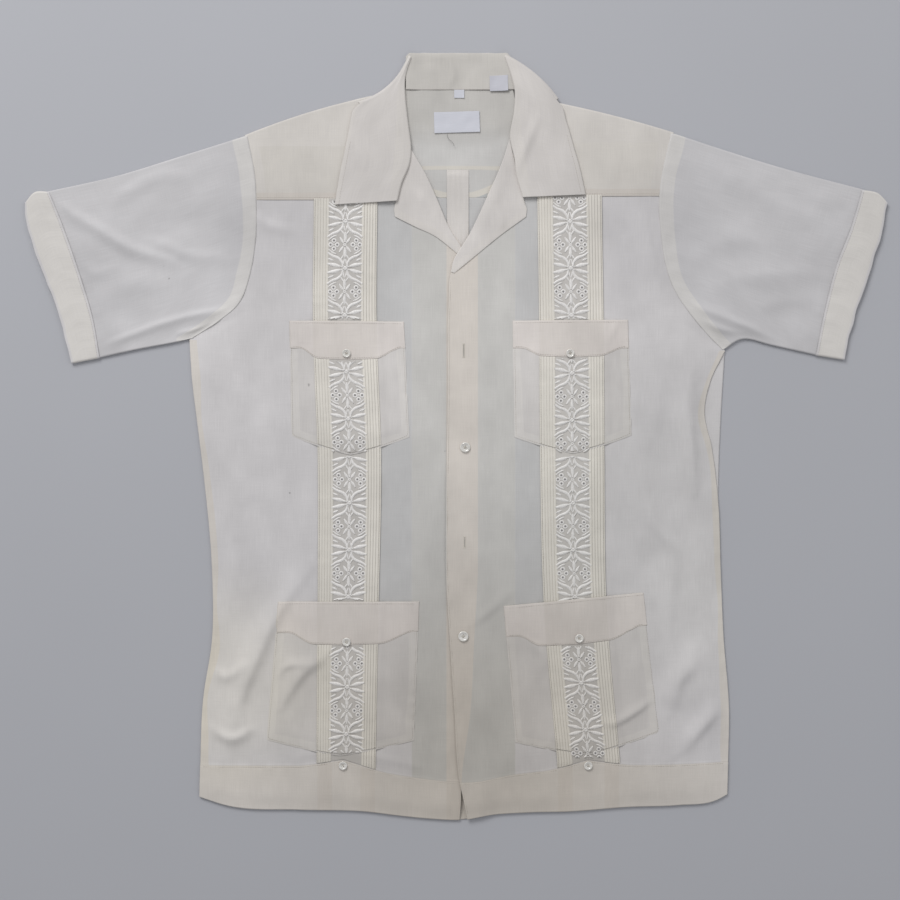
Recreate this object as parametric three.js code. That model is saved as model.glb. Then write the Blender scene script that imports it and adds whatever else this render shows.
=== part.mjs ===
// A short-sleeved guayabera shirt, buttoned and laid out flat on its back.
// Millimetres, +Z up. +Y runs from the hem to the collar and +X is the wearer's left.
// Each piece a maker cuts and sews on is its own wall of cloth, parted from its neighbours at the seams.
import * as THREE from "three";

// ---- Driving sizes --------------------------------------------------------------------------
const CLOTH = 1.0; // wall of one layer of cloth
const COLLAR_CLOTH = 1.5; // the collar is two layers and a stiffener
const HEM_CLOTH = 1.6; // the turned-up hem
const PLACKET_CLOTH = 1.4; // the button stand, with its facing
const SEAM = 0.3; // how far apart two pieces lie where they are sewn
const ON_PANEL = 0.45; // how far a piece lies above the panel that it is sewn on
const HOLLOW = 1.6; // free height between the back and the front
const FRONT_UNDER = CLOTH + HOLLOW; // underside of the front, above the floor
const FRONT_TOP = FRONT_UNDER + CLOTH;
const OVERLAP_RISE = HEM_CLOTH + ON_PANEL; // how much higher the left front lies over the right one
const TUCK_BASE = 0.7; // cloth of the tucked bands
const TUCK_HIGH = 0.6; // how far a tuck stands up
const TUCK_PITCH = 3.2;
const TUCKS = 5; // on each side of a band
const BAND_RISE = ON_PANEL + TUCK_BASE + TUCK_HIGH;
const SIDE_FALL = 26; // the front comes down to the back over this distance at a side seam
const COLLAR_UNDER = 5.9; // underside of the turned-down collar, above the floor

// ---- Small tools ----------------------------------------------------------------------------
const mix = (a, b, t) => a + (b - a) * t;
const mixPoint = (p, q, t) => p.map((value, axis) => mix(value, q[axis], t));
const clamp01 = (t) => Math.min(1, Math.max(0, t));
const smooth = (t) => clamp01(t) ** 2 * (3 - 2 * clamp01(t));
const distance = (p, q) => Math.hypot(p[0] - q[0], p[1] - q[1]);

// A cubic curve through the points, with a sharp turn at the points listed in corners.
function curveThrough(points, corners = []) {
  const last = points.length - 1;
  const slope = (i, side) => {
    const before = points[Math.max(0, i - 1)];
    const after = points[Math.min(last, i + 1)];
    if (i === 0 || i === last || corners.includes(i)) {
      const [from, to] = side < 0 ? [before, points[i]] : [points[i], after];
      return to.map((value, axis) => value - from[axis]);
    }
    return after.map((value, axis) => (value - before[axis]) / 2);
  };
  return (t) => {
    const i = Math.min(last - 1, Math.floor(clamp01(t) * last));
    const f = clamp01(t) * last - i;
    const start = slope(i, 1);
    const end = slope(i + 1, -1);
    return points[i].map(
      (value, axis) =>
        value * (2 * f ** 3 - 3 * f ** 2 + 1) +
        start[axis] * (f ** 3 - 2 * f ** 2 + f) +
        points[i + 1][axis] * (3 * f ** 2 - 2 * f ** 3) +
        end[axis] * (f ** 3 - f ** 2),
    );
  };
}

// Each point's share of the length of the line through the points.
function shares(points) {
  const lengths = [0];
  points.slice(1).forEach((point, i) => lengths.push(lengths[i] + distance(points[i], point)));
  return lengths.map((length) => length / lengths[lengths.length - 1]);
}

// Straight lines from point to point, read by the share of their length.
function lineThrough(points) {
  const at = shares(points);
  return (share) => {
    const i = Math.max(1, at.findIndex((end) => end >= clamp01(share) - 1e-9));
    return mixPoint(points[i - 1], points[i], (clamp01(share) - at[i - 1]) / (at[i] - at[i - 1]));
  };
}

// The curve through the points, read by its share of the length.
function evenCurve(points) {
  const curve = curveThrough(points);
  return lineThrough(steps(60).map(curve));
}

// Equal steps from 0 to 1.
const steps = (count) => Array.from({ length: count + 1 }, (_, i) => i / count);

// ---- Solids ---------------------------------------------------------------------------------
const shirt = new THREE.Group();
const COLOURS = {
  sheer: { color: 0xcfcdc8, roughness: 0.85, metalness: 0 },
  doubled: { color: 0xd9d4ca, roughness: 0.85, metalness: 0 },
  pearl: { color: 0xe6e2da, roughness: 0.25, metalness: 0 },
  label: { color: 0xd7dae2, roughness: 0.6, metalness: 0 },
};

function addMesh(name, finish, vertices, faces) {
  let volume = 0;
  for (const [a, b, c] of faces) {
    const [p, q, r] = [vertices[a], vertices[b], vertices[c]].map((v) => new THREE.Vector3(...v));
    volume += p.dot(q.cross(r)) / 6;
  }
  const outward = volume > 0 ? faces : faces.map(([a, b, c]) => [a, c, b]);
  const geometry = new THREE.BufferGeometry();
  geometry.setAttribute("position", new THREE.Float32BufferAttribute(vertices.flat(), 3));
  geometry.setIndex(outward.flat());
  geometry.computeVertexNormals();
  const mesh = new THREE.Mesh(geometry, new THREE.MeshStandardMaterial(COLOURS[finish]));
  mesh.name = name;
  shirt.add(mesh);
}

const quad = (a, b, c, d) => [
  [a, b, c],
  [a, c, d],
];

// A wall on a grid: surface(u, v) is its inner face, and thick(u, v) is laid on outside it.
function addWall(name, finish, us, vs, surface, thick = () => CLOTH) {
  const columns = us.length;
  const rows = vs.length;
  const inner = vs.flatMap((v) => us.map((u) => new THREE.Vector3(...surface(u, v))));
  const normals = inner.map(() => new THREE.Vector3());
  const at = (column, row) => row * columns + column;
  for (let row = 0; row < rows - 1; row++)
    for (let column = 0; column < columns - 1; column++) {
      const corners = [
        at(column, row),
        at(column + 1, row),
        at(column + 1, row + 1),
        at(column, row + 1),
      ];
      const across = inner[corners[2]].clone().sub(inner[corners[0]]);
      const along = inner[corners[3]].clone().sub(inner[corners[1]]);
      const normal = across.cross(along).normalize();
      corners.forEach((corner) => normals[corner].add(normal));
    }
  const outer = inner.map((point, i) => {
    const push = thick(us[i % columns], vs[Math.floor(i / columns)]);
    return point.clone().addScaledVector(normals[i].normalize(), push);
  });
  const count = inner.length;
  const faces = [];
  for (let row = 0; row < rows - 1; row++)
    for (let column = 0; column < columns - 1; column++) {
      const [a, b, c, d] = [
        at(column, row),
        at(column + 1, row),
        at(column + 1, row + 1),
        at(column, row + 1),
      ];
      faces.push(...quad(d, c, b, a), ...quad(a + count, b + count, c + count, d + count));
    }
  const rim = [
    ...Array.from({ length: columns - 1 }, (_, i) => at(i, 0)),
    ...Array.from({ length: rows - 1 }, (_, i) => at(columns - 1, i)),
    ...Array.from({ length: columns - 1 }, (_, i) => at(columns - 1 - i, rows - 1)),
    ...Array.from({ length: rows - 1 }, (_, i) => at(0, rows - 1 - i)),
  ];
  rim.forEach((a, i) => {
    const b = rim[(i + 1) % rim.length];
    faces.push(...quad(a, b, b + count, a + count));
  });
  addMesh(
    name,
    finish,
    [...inner, ...outer].map((p) => p.toArray()),
    faces,
  );
}

// ---- How the shirt lies ---------------------------------------------------------------------
const COLLAR_BACK = { low: 342, rise: 37, half: 101, lift: COLLAR_CLOTH + SEAM, fade: 20, margin: 8 };

// Lower edge of the collar where it lies under the back of the neck.
const collarBackEdge = (x) => COLLAR_BACK.low + COLLAR_BACK.rise * (x / COLLAR_BACK.half) ** 2;

// How far the collar below it lifts the cloth at the neck.
function neckLift([x, y]) {
  const below = collarBackEdge(x) - COLLAR_BACK.margin - y;
  return COLLAR_BACK.lift * smooth(1 - below / COLLAR_BACK.fade);
}

// Long soft folds of the upper layer: from one end to the other, half width and height.
const FOLDS = [
  { from: [-440, 262], to: [-285, 196], wide: 13, high: 4.5 },
  { from: [-372, 252], to: [-306, 290], wide: 12, high: 3.0 },
  { from: [-330, 214], to: [-262, 196], wide: 12, high: 2.6 },
  { from: [-384, 106], to: [-262, 146], wide: 9, high: 3.6 },
  { from: [264, 144], to: [372, 106], wide: 10, high: 4.0 },
  { from: [300, 176], to: [398, 184], wide: 13, high: 2.6 },
  { from: [330, 268], to: [404, 236], wide: 16, high: 2.2 },
  { from: [-216, 236], to: [-176, 222], wide: 9, high: 2.0 },
  { from: [-214, -118], to: [-238, -196], wide: 12, high: 4.2 },
  { from: [-236, -300], to: [-230, -252], wide: 12, high: 3.0 },
  { from: [292, -292], to: [246, -338], wide: 9, high: 2.4 },
  { from: [256, 20], to: [262, -80], wide: 11, high: 3.4 },
  { from: [-238, 60], to: [-226, -70], wide: 15, high: 2.4 },
  { from: [212, 96], to: [222, 10], wide: 14, high: 2.2 },
];

// Height that the folds give the upper layer at a point.
function foldLift([x, y]) {
  return FOLDS.reduce((sum, { from, to, wide, high }) => {
    const along = [to[0] - from[0], to[1] - from[1]];
    const length = Math.hypot(...along);
    const t = clamp01(((x - from[0]) * along[0] + (y - from[1]) * along[1]) / length ** 2);
    const off = distance([x, y], mixPoint(from, to, t));
    return sum + high * Math.exp(-((off / wide) ** 2)) * Math.sin(Math.PI * mix(0.15, 0.85, t));
  }, 0);
}

// ---- Places of the buttons ------------------------------------------------------------------
const FRONT_BUTTONS = { upper: [10, -12], lower: [8, -219] };
const HEM_BUTTONS = { right: [-124, -361], left: [145, -361] };
const HEM_PEAK = 52; // half width of the peak that the hem's edge makes at its button

// ---- Body panels ----------------------------------------------------------------------------
// Each row is one section across the panel: its two ends, how far its middle sags towards the hem,
// how far it rises to a peak at the hem's button, and how many steps the wall takes up to the next
// row. A corner row turns sharply.
const YOKE_SEAM = { right: 260.5, left: 264.5 };
const BACK_ROWS = [
  { left: [-282, -395], right: [298, -392], sag: 26, steps: 1 },
  { left: [-281, -361], right: [299, -357], sag: 19, steps: 3 },
  { left: [-278, -290], right: [300, -300], sag: 8, steps: 2 },
  { left: [-268, -222], right: [294, -220], sag: 0, steps: 2 },
  { left: [-268, -149], right: [291, -147], sag: 0, steps: 3 },
  { left: [-277, -45], right: [289, -46], sag: 0, steps: 2 },
  { left: [-284, 12], right: [291, 8], sag: 0, steps: 3 },
  { left: [-293, 108], right: [296, 95], sag: 0, steps: 1, corner: true },
  { left: [-262, 128], right: [262, 132], sag: 0, steps: 1 },
  { left: [-240, 148], right: [243, 160], sag: 0, steps: 1 },
  { left: [-228, 182], right: [232, 192], sag: 0, steps: 1 },
  { left: [-222, 224], right: [226, 240], sag: 0, steps: 1 },
  { left: [-222, YOKE_SEAM.right], right: [226, YOKE_SEAM.left], sag: 0, steps: 0 },
];

// The wearer's right front lies underneath and ends at its button stand and lapel roll.
const FRONT_RIGHT_ROWS = [
  { left: [-282, -395], right: [4, -420], sag: 5, steps: 1 },
  { left: [-281, -362], right: [7, -379], sag: -9, peak: 9, steps: 1, corner: true },
  { left: [-281, -361], right: [7, -378], sag: -9, peak: 9, steps: 2, corner: true },
  { left: [-278, -290], right: [16, -300], sag: 0, steps: 2 },
  { left: [-268, -222], right: [20, -222], sag: 0, steps: 3 },
  { left: [-268, -149], right: [24, -149], sag: 0, steps: 4 },
  { left: [-277, -45], right: [25, -45], sag: 0, steps: 2 },
  { left: [-284, 12], right: [25, 12], sag: 0, steps: 4 },
  { left: [-293, 108], right: [24, 108], sag: 0, steps: 1, corner: true },
  { left: [-262, 128], right: [24, 128], sag: 0, steps: 1 },
  { left: [-240, 148], right: [23, 148], sag: 0, steps: 1 },
  { left: [-228, 182], right: [20, 176], sag: 0, steps: 1 },
  { left: [-222, 224], right: [6, 209], sag: 0, steps: 1, corner: true },
  { left: [-222, 240], right: [-10, 232], sag: 0, steps: 1 },
  { left: [-222, YOKE_SEAM.right - SEAM], right: [-23, YOKE_SEAM.right - SEAM], sag: 0, steps: 0 },
];

// The wearer's left front laps over it. Its side edge is drawn in below the arm.
const FRONT_LEFT_ROWS = [
  { left: [8, -420], right: [298, -392], sag: 5, steps: 1 },
  { left: [3, -379], right: [299, -358], sag: -9, peak: 8, steps: 1, corner: true },
  { left: [3, -378], right: [299, -357], sag: -9, peak: 8, steps: 2, corner: true },
  { left: [-2, -300], right: [300, -300], sag: 0, steps: 2 },
  { left: [-7, -222], right: [294, -220], sag: 0, steps: 3 },
  { left: [-11, -149], right: [291, -147], sag: 0, steps: 3 },
  { left: [-11, -70], right: [288, -70], sag: 0, steps: 2 },
  { left: [-10, -12], right: [281, -12], sag: 0, steps: 2 },
  { left: [-10, 27], right: [273, 27], sag: 0, steps: 2 },
  { left: [-9, 62], right: [280, 62], sag: 0, steps: 2 },
  { left: [-9, 95], right: [296, 95], sag: 0, steps: 1, corner: true },
  { left: [-9, 126], right: [262, 132], sag: 0, steps: 1 },
  { left: [-8, 152], right: [243, 160], sag: 0, steps: 1 },
  { left: [-6, 178], right: [232, 192], sag: 0, steps: 1 },
  { left: [22, 232], right: [226, 240], sag: 0, steps: 1 },
  { left: [34, YOKE_SEAM.left - SEAM], right: [226, YOKE_SEAM.left - SEAM], sag: 0, steps: 0 },
];

// A panel from its rows: plan(u, row number) gives a point across it, and stations the rows it has.
function panel(rows) {
  const corners = rows.flatMap((row, i) => (row.corner ? [i] : []));
  const left = curveThrough(rows.map((row) => row.left), corners);
  const right = curveThrough(rows.map((row) => row.right), corners);
  const sag = curveThrough(rows.map((row) => [row.sag]), corners);
  const peak = curveThrough(rows.map((row) => [row.peak ?? 0]), corners);
  const last = rows.length - 1;
  const plan = (u, row) => {
    const t = row / last;
    const [x, y] = mixPoint(left(t), right(t), u);
    const button = x < 0 ? HEM_BUTTONS.right : HEM_BUTTONS.left;
    const rise = peak(t)[0] * clamp01(1 - Math.abs(x - button[0]) / HEM_PEAK) ** 1.4;
    return [x, y + rise - sag(t)[0] * 4 * u * (1 - u)];
  };
  const stations = rows.flatMap((row, i) =>
    Array.from({ length: row.steps }, (_, k) => i + k / row.steps),
  );
  return { plan, stations: [...stations, last] };
}

// A plain piece lying flat: rows as above, and under(point, u, row) the height of its underside.
function addPanel(name, finish, us, rows, under, thick) {
  const { plan, stations } = panel(rows);
  const surface = (u, row) => {
    const point = plan(u, row);
    return [...point, under(point, u, row)];
  };
  addWall(name, finish, us, stations, surface, thick);
}

// The front comes down to the back at its side seam and its hem.
const UNDERARM_ROW = { right: 8, left: 10 };
function frontUnder(side, point, fromSide, row) {
  const fall = Math.min(1, fromSide / SIDE_FALL, (row + 0.15) / 1.6);
  const above = row - UNDERARM_ROW[side];
  const seamed = above < 0 ? smooth(fall) : smooth(mix(fall, 1, above));
  return mix(CLOTH + SEAM, FRONT_UNDER, seamed) + foldLift(point) * smooth(fall);
}

// The left front climbs on to the right one near the middle, up to where the lapels turn back.
const LAP = { full: 26, end: 46, top: 200, fade: 32 };
function lapRise([x, y]) {
  const near = smooth((LAP.end - x) / (LAP.end - LAP.full));
  return OVERLAP_RISE * near * smooth(1 - (y - LAP.top) / LAP.fade);
}

function addFronts() {
  const hem = (row) => (row <= 1 ? HEM_CLOTH : CLOTH);
  const fromRight = [0, 0.03, 0.08, 0.15, 0.23, 0.32, 0.42, 0.48, 0.54, 0.6, 0.68, 0.8, 0.9, 1];
  addPanel(
    "front_right",
    "sheer",
    fromRight,
    FRONT_RIGHT_ROWS,
    (point, u, row) => frontUnder("right", point, u * 300, row),
    (u, row) => hem(row),
  );
  const placket = 0.112; // share of the front's width that the button stand takes
  const fromPlacket = [0.2, 0.3, 0.38, 0.43, 0.48, 0.54, 0.62, 0.7, 0.79, 0.87, 0.94, 0.975, 1];
  const fromMiddle = [0, placket, placket + 0.012, ...fromPlacket];
  addPanel(
    "front_left",
    "sheer",
    fromMiddle,
    FRONT_LEFT_ROWS,
    (point, u, row) => frontUnder("left", point, (1 - u) * 300, row) + lapRise(point),
    (u, row) => Math.max(hem(row), u <= placket ? PLACKET_CLOTH : CLOTH),
  );
}

function addBack() {
  addPanel("back", "sheer", steps(8), BACK_ROWS, () => 0, () => CLOTH);
}

// The tucked strip down the middle of the back, which shows inside the neck.
const BACK_TUCKS = { left: -10, right: 14, top: 293, bottom: -372, thick: 0.8 };
function addBackTucks() {
  const { left, right, top, bottom, thick } = BACK_TUCKS;
  addWall(
    "back_tucks",
    "doubled",
    steps(6),
    steps(6),
    (u, v) => [mix(left, right, u), mix(bottom, top, v), CLOTH + SEAM],
    (u) => thick - (Math.round(u * 6) % 2 ? 0 : 0.3),
  );
}

// ---- Yoke -----------------------------------------------------------------------------------
// Each front yoke runs from its seam over the shoulder fold and a little way down the back.
const TURN = FRONT_TOP / 2; // outer radius of the shoulder fold
const TURN_BACK = 8; // how far the yoke runs on under the fold
const YOKE_ROWS = {
  right: [
    { left: [-222, YOKE_SEAM.right], right: [-23, YOKE_SEAM.right] },
    { left: [-222.7, 270], right: [-35, 286] },
    { left: [-224, 290], right: [-55, 314] },
    { left: [-228, 310], right: [-64, 345] },
    { left: [-232, 331], right: [-66, 372], bulge: 3 },
  ],
  left: [
    { left: [34, YOKE_SEAM.left], right: [226, YOKE_SEAM.left] },
    { left: [46, 288], right: [227.2, 275] },
    { left: [66, 316], right: [229, 290] },
    { left: [70, 345], right: [234, 312] },
    { left: [72, 374], right: [239, 334], bulge: 3 },
  ],
};
const TURN_STEPS = [0, 0.25, 0.5, 0.75, 1];

function addYoke(side) {
  const rows = YOKE_ROWS[side];
  const fold = rows[rows.length - 1];
  const left = curveThrough(rows.map((row) => row.left));
  const right = curveThrough(rows.map((row) => row.right));
  const slope = Math.atan2(fold.right[1] - fold.left[1], fold.right[0] - fold.left[0]);
  const out = [-Math.sin(slope), Math.cos(slope)];
  const inset = (point, by) => [point[0] - out[0] * by, point[1] - out[1] * by];
  const foldLine = (u) => {
    const [x, y] = mixPoint(fold.left, fold.right, u);
    return [x, y + fold.bulge * 4 * u * (1 - u)];
  };
  const innerTurn = TURN - CLOTH;
  const flats = steps(5);
  const count = flats.length + TURN_STEPS.length;
  // Station numbers below the flats climb to the fold, the next ones go round it and the last runs back.
  const surface = (u, station) => {
    if (station < flats.length) {
      const t = flats[station];
      const near = smooth((t - 0.55) / 0.45);
      const low = mixPoint(left(t), right(t), u);
      const end = foldLine(u);
      const plan = inset(mixPoint(low, [low[0], mix(low[1], end[1], near)], 1), TURN * smooth(t));
      return [...plan, FRONT_UNDER + neckLift(plan) + foldLift(plan) * (1 - near)];
    }
    const centre = inset(foldLine(u), TURN);
    if (station < count - 1) {
      const angle = Math.PI * TURN_STEPS[station - flats.length + 1];
      const reach = innerTurn * Math.sin(angle);
      const plan = inset(centre, -reach);
      return [...plan, TURN + innerTurn * Math.cos(angle) + neckLift(centre)];
    }
    const plan = inset(centre, TURN_BACK);
    return [...plan, CLOTH + neckLift(plan)];
  };
  addWall(`yoke_${side}`, "doubled", steps(9), Array.from({ length: count }, (_, i) => i), surface);
}

// Where the armhole is at a height above the yoke seam.
function armholeAt(side, y) {
  const points = SLEEVES[side].armhole;
  const i = Math.max(1, points.findIndex((point) => point[1] <= y));
  return mixPoint(points[i], points[i - 1], (y - points[i][1]) / (points[i - 1][1] - points[i][1]))[0];
}

// The back yoke fills the back between the two front yokes' turned edges and the neck seam.
const NECK_SEAM = 381;
function addBackYoke() {
  const shoulder = (x) => {
    const side = x < 0 ? YOKE_ROWS.right[4] : YOKE_ROWS.left[4];
    const t = (x - side.left[0]) / (side.right[0] - side.left[0]);
    const y = mix(side.left[1], side.right[1], t) + side.bulge * 4 * t * (1 - t);
    return y - TURN - TURN_BACK - 1.2;
  };
  const columns = [-230, -200, -150, -105, -84, -63, -61, -34, 0, 34, 66.8, 68.8, 92, 112, 155, 204, 236];
  const top = (x) => (x > -62 && x < 68 ? NECK_SEAM - SEAM : shoulder(x));
  const seam = (x) => mix(YOKE_SEAM.right, YOKE_SEAM.left, (x + 222) / 448) + SEAM;
  const last = columns.length - 1;
  addWall(
    "back_yoke",
    "sheer",
    columns.map((_, i) => i),
    [0, 0.42, 0.62, 0.76, 0.88, 1],
    (column, v) => {
      const x = columns[column];
      const y = mix(seam(x), top(x), v);
      const edge = column === 0 ? armholeAt("right", y) : column === last ? armholeAt("left", y) : x;
      return [edge, y, neckLift([x, y])];
    },
  );
}

// ---- Sleeves --------------------------------------------------------------------------------
// Edges of each sleeve and cuff as they lie: armhole, line of the cuff seam, points on the shoulder
// fold and on the underarm fold, then the open end. The armhole has the points that the panels have.
const SLEEVES = {
  right: {
    armhole: [
      [-232, 331],
      [-224, 290],
      [-222, YOKE_SEAM.right],
      [-222, 224],
      [-228, 182],
      [-240, 148],
      [-262, 128],
      [-293, 108],
    ],
    seam: [[-447, 269], [-431, 230], [-413, 178], [-399, 131], [-391, 86]],
    fold: [[-302, 308], [-374, 286]],
    underarm: [[-311, 103], [-353, 95]],
    end: [[-473, 259], [-469, 224], [-450, 172], [-434, 127], [-422, 80]],
    out: -1,
  },
  left: {
    armhole: [
      [239, 334],
      [229, 290],
      [226, YOKE_SEAM.left],
      [226, 240],
      [232, 192],
      [243, 160],
      [262, 132],
      [296, 95],
    ],
    seam: [[446, 271], [433, 228], [417, 186], [404, 135], [395, 89]],
    fold: [[306, 311], [369, 292]],
    underarm: [[316, 107], [348, 100]],
    end: [[473, 259], [468, 226], [452, 174], [437, 130], [426, 84]],
    out: 1,
  },
};

// A flat surface spanned by four edges: s runs from the first side to the second, w from start to end.
function fourEdges(a, c, t, b) {
  const corners = [a(0), a(1), c(0), c(1)];
  return (s, w) =>
    [0, 1].map((axis) => {
      const ruled = mix(a(s)[axis], c(s)[axis], w) + mix(t(w)[axis], b(w)[axis], s);
      const near = mix(corners[0][axis], corners[1][axis], s);
      const far = mix(corners[2][axis], corners[3][axis], s);
      return ruled - mix(near, far, w);
    });
}

// Ring of a flattened tube: pairs of (distance across it, height), once round.
function flatRing(width, high, sink, across) {
  const radius = high / 2;
  const round = [0, 0.25, 0.5, 0.75, 1].map((t) => Math.PI * t);
  const line = across.slice(1, -1);
  const top = line.map((s) => [mix(radius, width - radius, s), high]);
  const far = round.map((a) => [width - radius + radius * Math.sin(a), radius + radius * Math.cos(a)]);
  const under = [...line].reverse().map((s) => [mix(radius, width - radius, s), 0]);
  const near = round.map((a) => [radius - radius * Math.sin(a), radius - radius * Math.cos(a)]);
  const ring = [...top, ...far, ...under, ...near];
  return ring.map(([x, z]) => [x + sink, z + sink]);
}

// A flattened tube wall from one open end to the other.
function addTube(name, finish, plan, across, stations, high, thick) {
  const vertices = [];
  stations.forEach((w) => {
    const width = distance(plan(0, w), plan(1, w));
    for (const sink of [0, thick]) {
      for (const [x, z] of flatRing(width - 2 * sink, high - 2 * sink, sink, across)) {
        const point = plan(x / width, w);
        const lifted = z > high / 2 ? foldLift(point) * smooth(Math.min(x, width - x) / SIDE_FALL) : 0;
        vertices.push([...point, z + lifted]);
      }
    }
  });
  const ring = vertices.length / stations.length / 2;
  const faces = [];
  for (let i = 0; i < ring; i++) {
    const j = (i + 1) % ring;
    for (let k = 0; k < stations.length - 1; k++) {
      const [near, far] = [k * 2 * ring, (k + 1) * 2 * ring];
      faces.push(...quad(near + i, near + j, far + j, far + i));
      faces.push(...quad(near + ring + j, near + ring + i, far + ring + i, far + ring + j));
    }
    const end = (stations.length - 1) * 2 * ring;
    faces.push(...quad(j, i, ring + i, ring + j));
    faces.push(...quad(end + i, end + j, end + ring + j, end + ring + i));
  }
  addMesh(name, finish, vertices, faces);
}

const CUFF_HIGH = FRONT_TOP + 0.8;
const CUFF_WALL = 1.4;
const SLEEVE_STATIONS = [0, 0.1, 0.22, 0.35, 0.5, 0.65, 0.8, 0.92, 1];
function addSleeve(side) {
  const { armhole, seam, fold, underarm, end, out } = SLEEVES[side];
  const moved = (points, x, y) => points.map((point) => [point[0] + x * out, point[1] + y]);
  const parted = moved(armhole, SEAM * 1.4, SEAM);
  const body = fourEdges(
    lineThrough(parted),
    evenCurve(seam),
    evenCurve([parted[0], ...fold, seam[0]]),
    evenCurve([parted[parted.length - 1], ...underarm, seam[seam.length - 1]]),
  );
  const across = [...shares(armhole), 0.12, 0.53].sort((a, b) => a - b);
  addTube(`sleeve_${side}`, "sheer", body, across, SLEEVE_STATIONS, FRONT_TOP, CLOTH);
  const cuffSeam = moved(seam, SEAM * 1.5, 0);
  const band = fourEdges(
    evenCurve(cuffSeam),
    evenCurve(end),
    lineThrough([cuffSeam[0], end[0]]),
    lineThrough([cuffSeam[cuffSeam.length - 1], end[end.length - 1]]),
  );
  addTube(`cuff_${side}`, "doubled", band, across, [0, 0.5, 1], CUFF_HIGH, CUFF_WALL);
}

// ---- Collar and lapels ----------------------------------------------------------------------
// Sections of the turned-down collar, from its roll to its free edge, round the neck from the
// wearer's right point to the left one. The two fold rows lie on the shoulders.
const COLLAR_ROWS = [
  { roll: [-66, 258], edge: [-133, 254], lies: "front" },
  { roll: [-61, 278], edge: [-130, 272], lies: "front" },
  { roll: [-53, 297], edge: [-127, 290], lies: "front" },
  { roll: [-51, 316], edge: [-123, 308], lies: "front" },
  { roll: [-54, 342], edge: [-119, 327], lies: "front" },
  { roll: [-57, 370], edge: [-114, 346], lies: "front" },
  { roll: [-57, 392], edge: [-108, 362], lies: "front" },
  { roll: [-53, 417], edge: [-101, 378], lies: "fold" },
  { roll: [-42, 419.5], edge: [-82, collarBackEdge(-82)], lies: "back" },
  { roll: [-24, 419.5], edge: [-46, collarBackEdge(-46)], lies: "back" },
  { roll: [0, 419.5], edge: [0, collarBackEdge(0)], lies: "back" },
  { roll: [24, 419.5], edge: [46, collarBackEdge(46)], lies: "back" },
  { roll: [44, 419.5], edge: [84, collarBackEdge(84)], lies: "back" },
  { roll: [57, 418], edge: [105, 380], lies: "fold" },
  { roll: [63, 394], edge: [113, 364], lies: "front" },
  { roll: [66, 376], edge: [119, 350], lies: "front" },
  { roll: [65, 354], edge: [124, 335], lies: "front" },
  { roll: [61, 328], edge: [129, 317], lies: "front" },
  { roll: [66, 304], edge: [134, 300], lies: "front" },
  { roll: [68, 286], edge: [138, 284], lies: "front" },
  { roll: [75, 262], edge: [142, 265], lies: "front" },
];
const FOLD_STEPS = [0, 0.2, 0.4, 0.6, 0.8, 1];

function addCollar() {
  const innerTurn = (COLLAR_UNDER - COLLAR_CLOTH) / 2; // inner radius of the fold on a shoulder
  const middle = COLLAR_CLOTH + innerTurn;
  const sections = COLLAR_ROWS.flatMap((row, i) => {
    const height = row.lies === "front" ? COLLAR_UNDER : COLLAR_CLOTH;
    if (row.lies !== "fold") return [(t) => [...mixPoint(row.roll, row.edge, t), height]];
    const side = row.edge[0] < 0 ? -1 : 1;
    const along = Math.atan2(row.edge[1] - row.roll[1], row.edge[0] - row.roll[0]);
    const out = [-Math.sin(along) * side, Math.cos(along) * side];
    const turned = side < 0 ? FOLD_STEPS : [...FOLD_STEPS].reverse();
    return turned.map((share) => (t) => {
      const push = innerTurn * Math.sin(Math.PI * share) - innerTurn - COLLAR_CLOTH;
      const [x, y] = mixPoint(row.roll, row.edge, t);
      return [x + out[0] * push, y + out[1] * push, middle + innerTurn * Math.cos(Math.PI * share)];
    });
  });
  addWall(
    "collar",
    "doubled",
    steps(4).reverse(),
    sections.map((_, i) => i),
    (u, section) => sections[section](u),
    () => COLLAR_CLOTH,
  );
}

// The stand rises from the neck seam to the collar's roll and shows inside the neck.
const STAND = { middle: 2, half: 58, low: NECK_SEAM, high: 418.8, shoulder: 43, drop: 16 };
function addStand() {
  const { middle, half, low, high, shoulder, drop } = STAND;
  addWall("collar_stand", "doubled", steps(12), steps(2), (u, v) => {
    const off = (2 * u - 1) * half;
    const top = high - drop * smooth((Math.abs(off) - shoulder) / (half - shoulder));
    return [middle + off, mix(low, top, v), COLLAR_BACK.lift];
  });
}

// The lapels are the tops of the fronts, turned back along the roll.
const LAPEL_ROWS = {
  right: [
    { roll: [6, 205], edge: [1.5, 200.5] },
    { roll: [-9, 230], edge: [-22, 219] },
    { roll: [-20, 256], edge: [-45, 230] },
    { roll: [-32, 283], edge: [-67, 241] },
    { roll: [-42, 301], edge: [-68, 249] },
    { roll: [-49, 313], edge: [-66.5, 256] },
  ],
  left: [
    { roll: [-5, 180], edge: [-2, 179] },
    { roll: [0, 196], edge: [22, 198.5] },
    { roll: [16, 222], edge: [48, 220] },
    { roll: [33, 258], edge: [77, 241] },
    { roll: [50, 297], edge: [78, 250] },
    { roll: [59, 325], edge: [73.5, 259.5] },
  ],
};

function addLapel(side) {
  const rows = LAPEL_ROWS[side];
  const roll = curveThrough(rows.map((row) => row.roll));
  const edge = curveThrough(rows.map((row) => row.edge), [3, 4]);
  const across = side === "left" ? steps(4) : steps(4).reverse();
  addWall(`lapel_${side}`, "doubled", across, steps(12), (u, v) => {
    const plan = mixPoint(roll(v), edge(v), u);
    const climb = side === "left" ? lapRise(plan) + 0.8 * smooth((LAP.end + 4 - plan[0]) / 14) : 0;
    return [...plan, FRONT_TOP + ON_PANEL + climb];
  });
}

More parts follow.
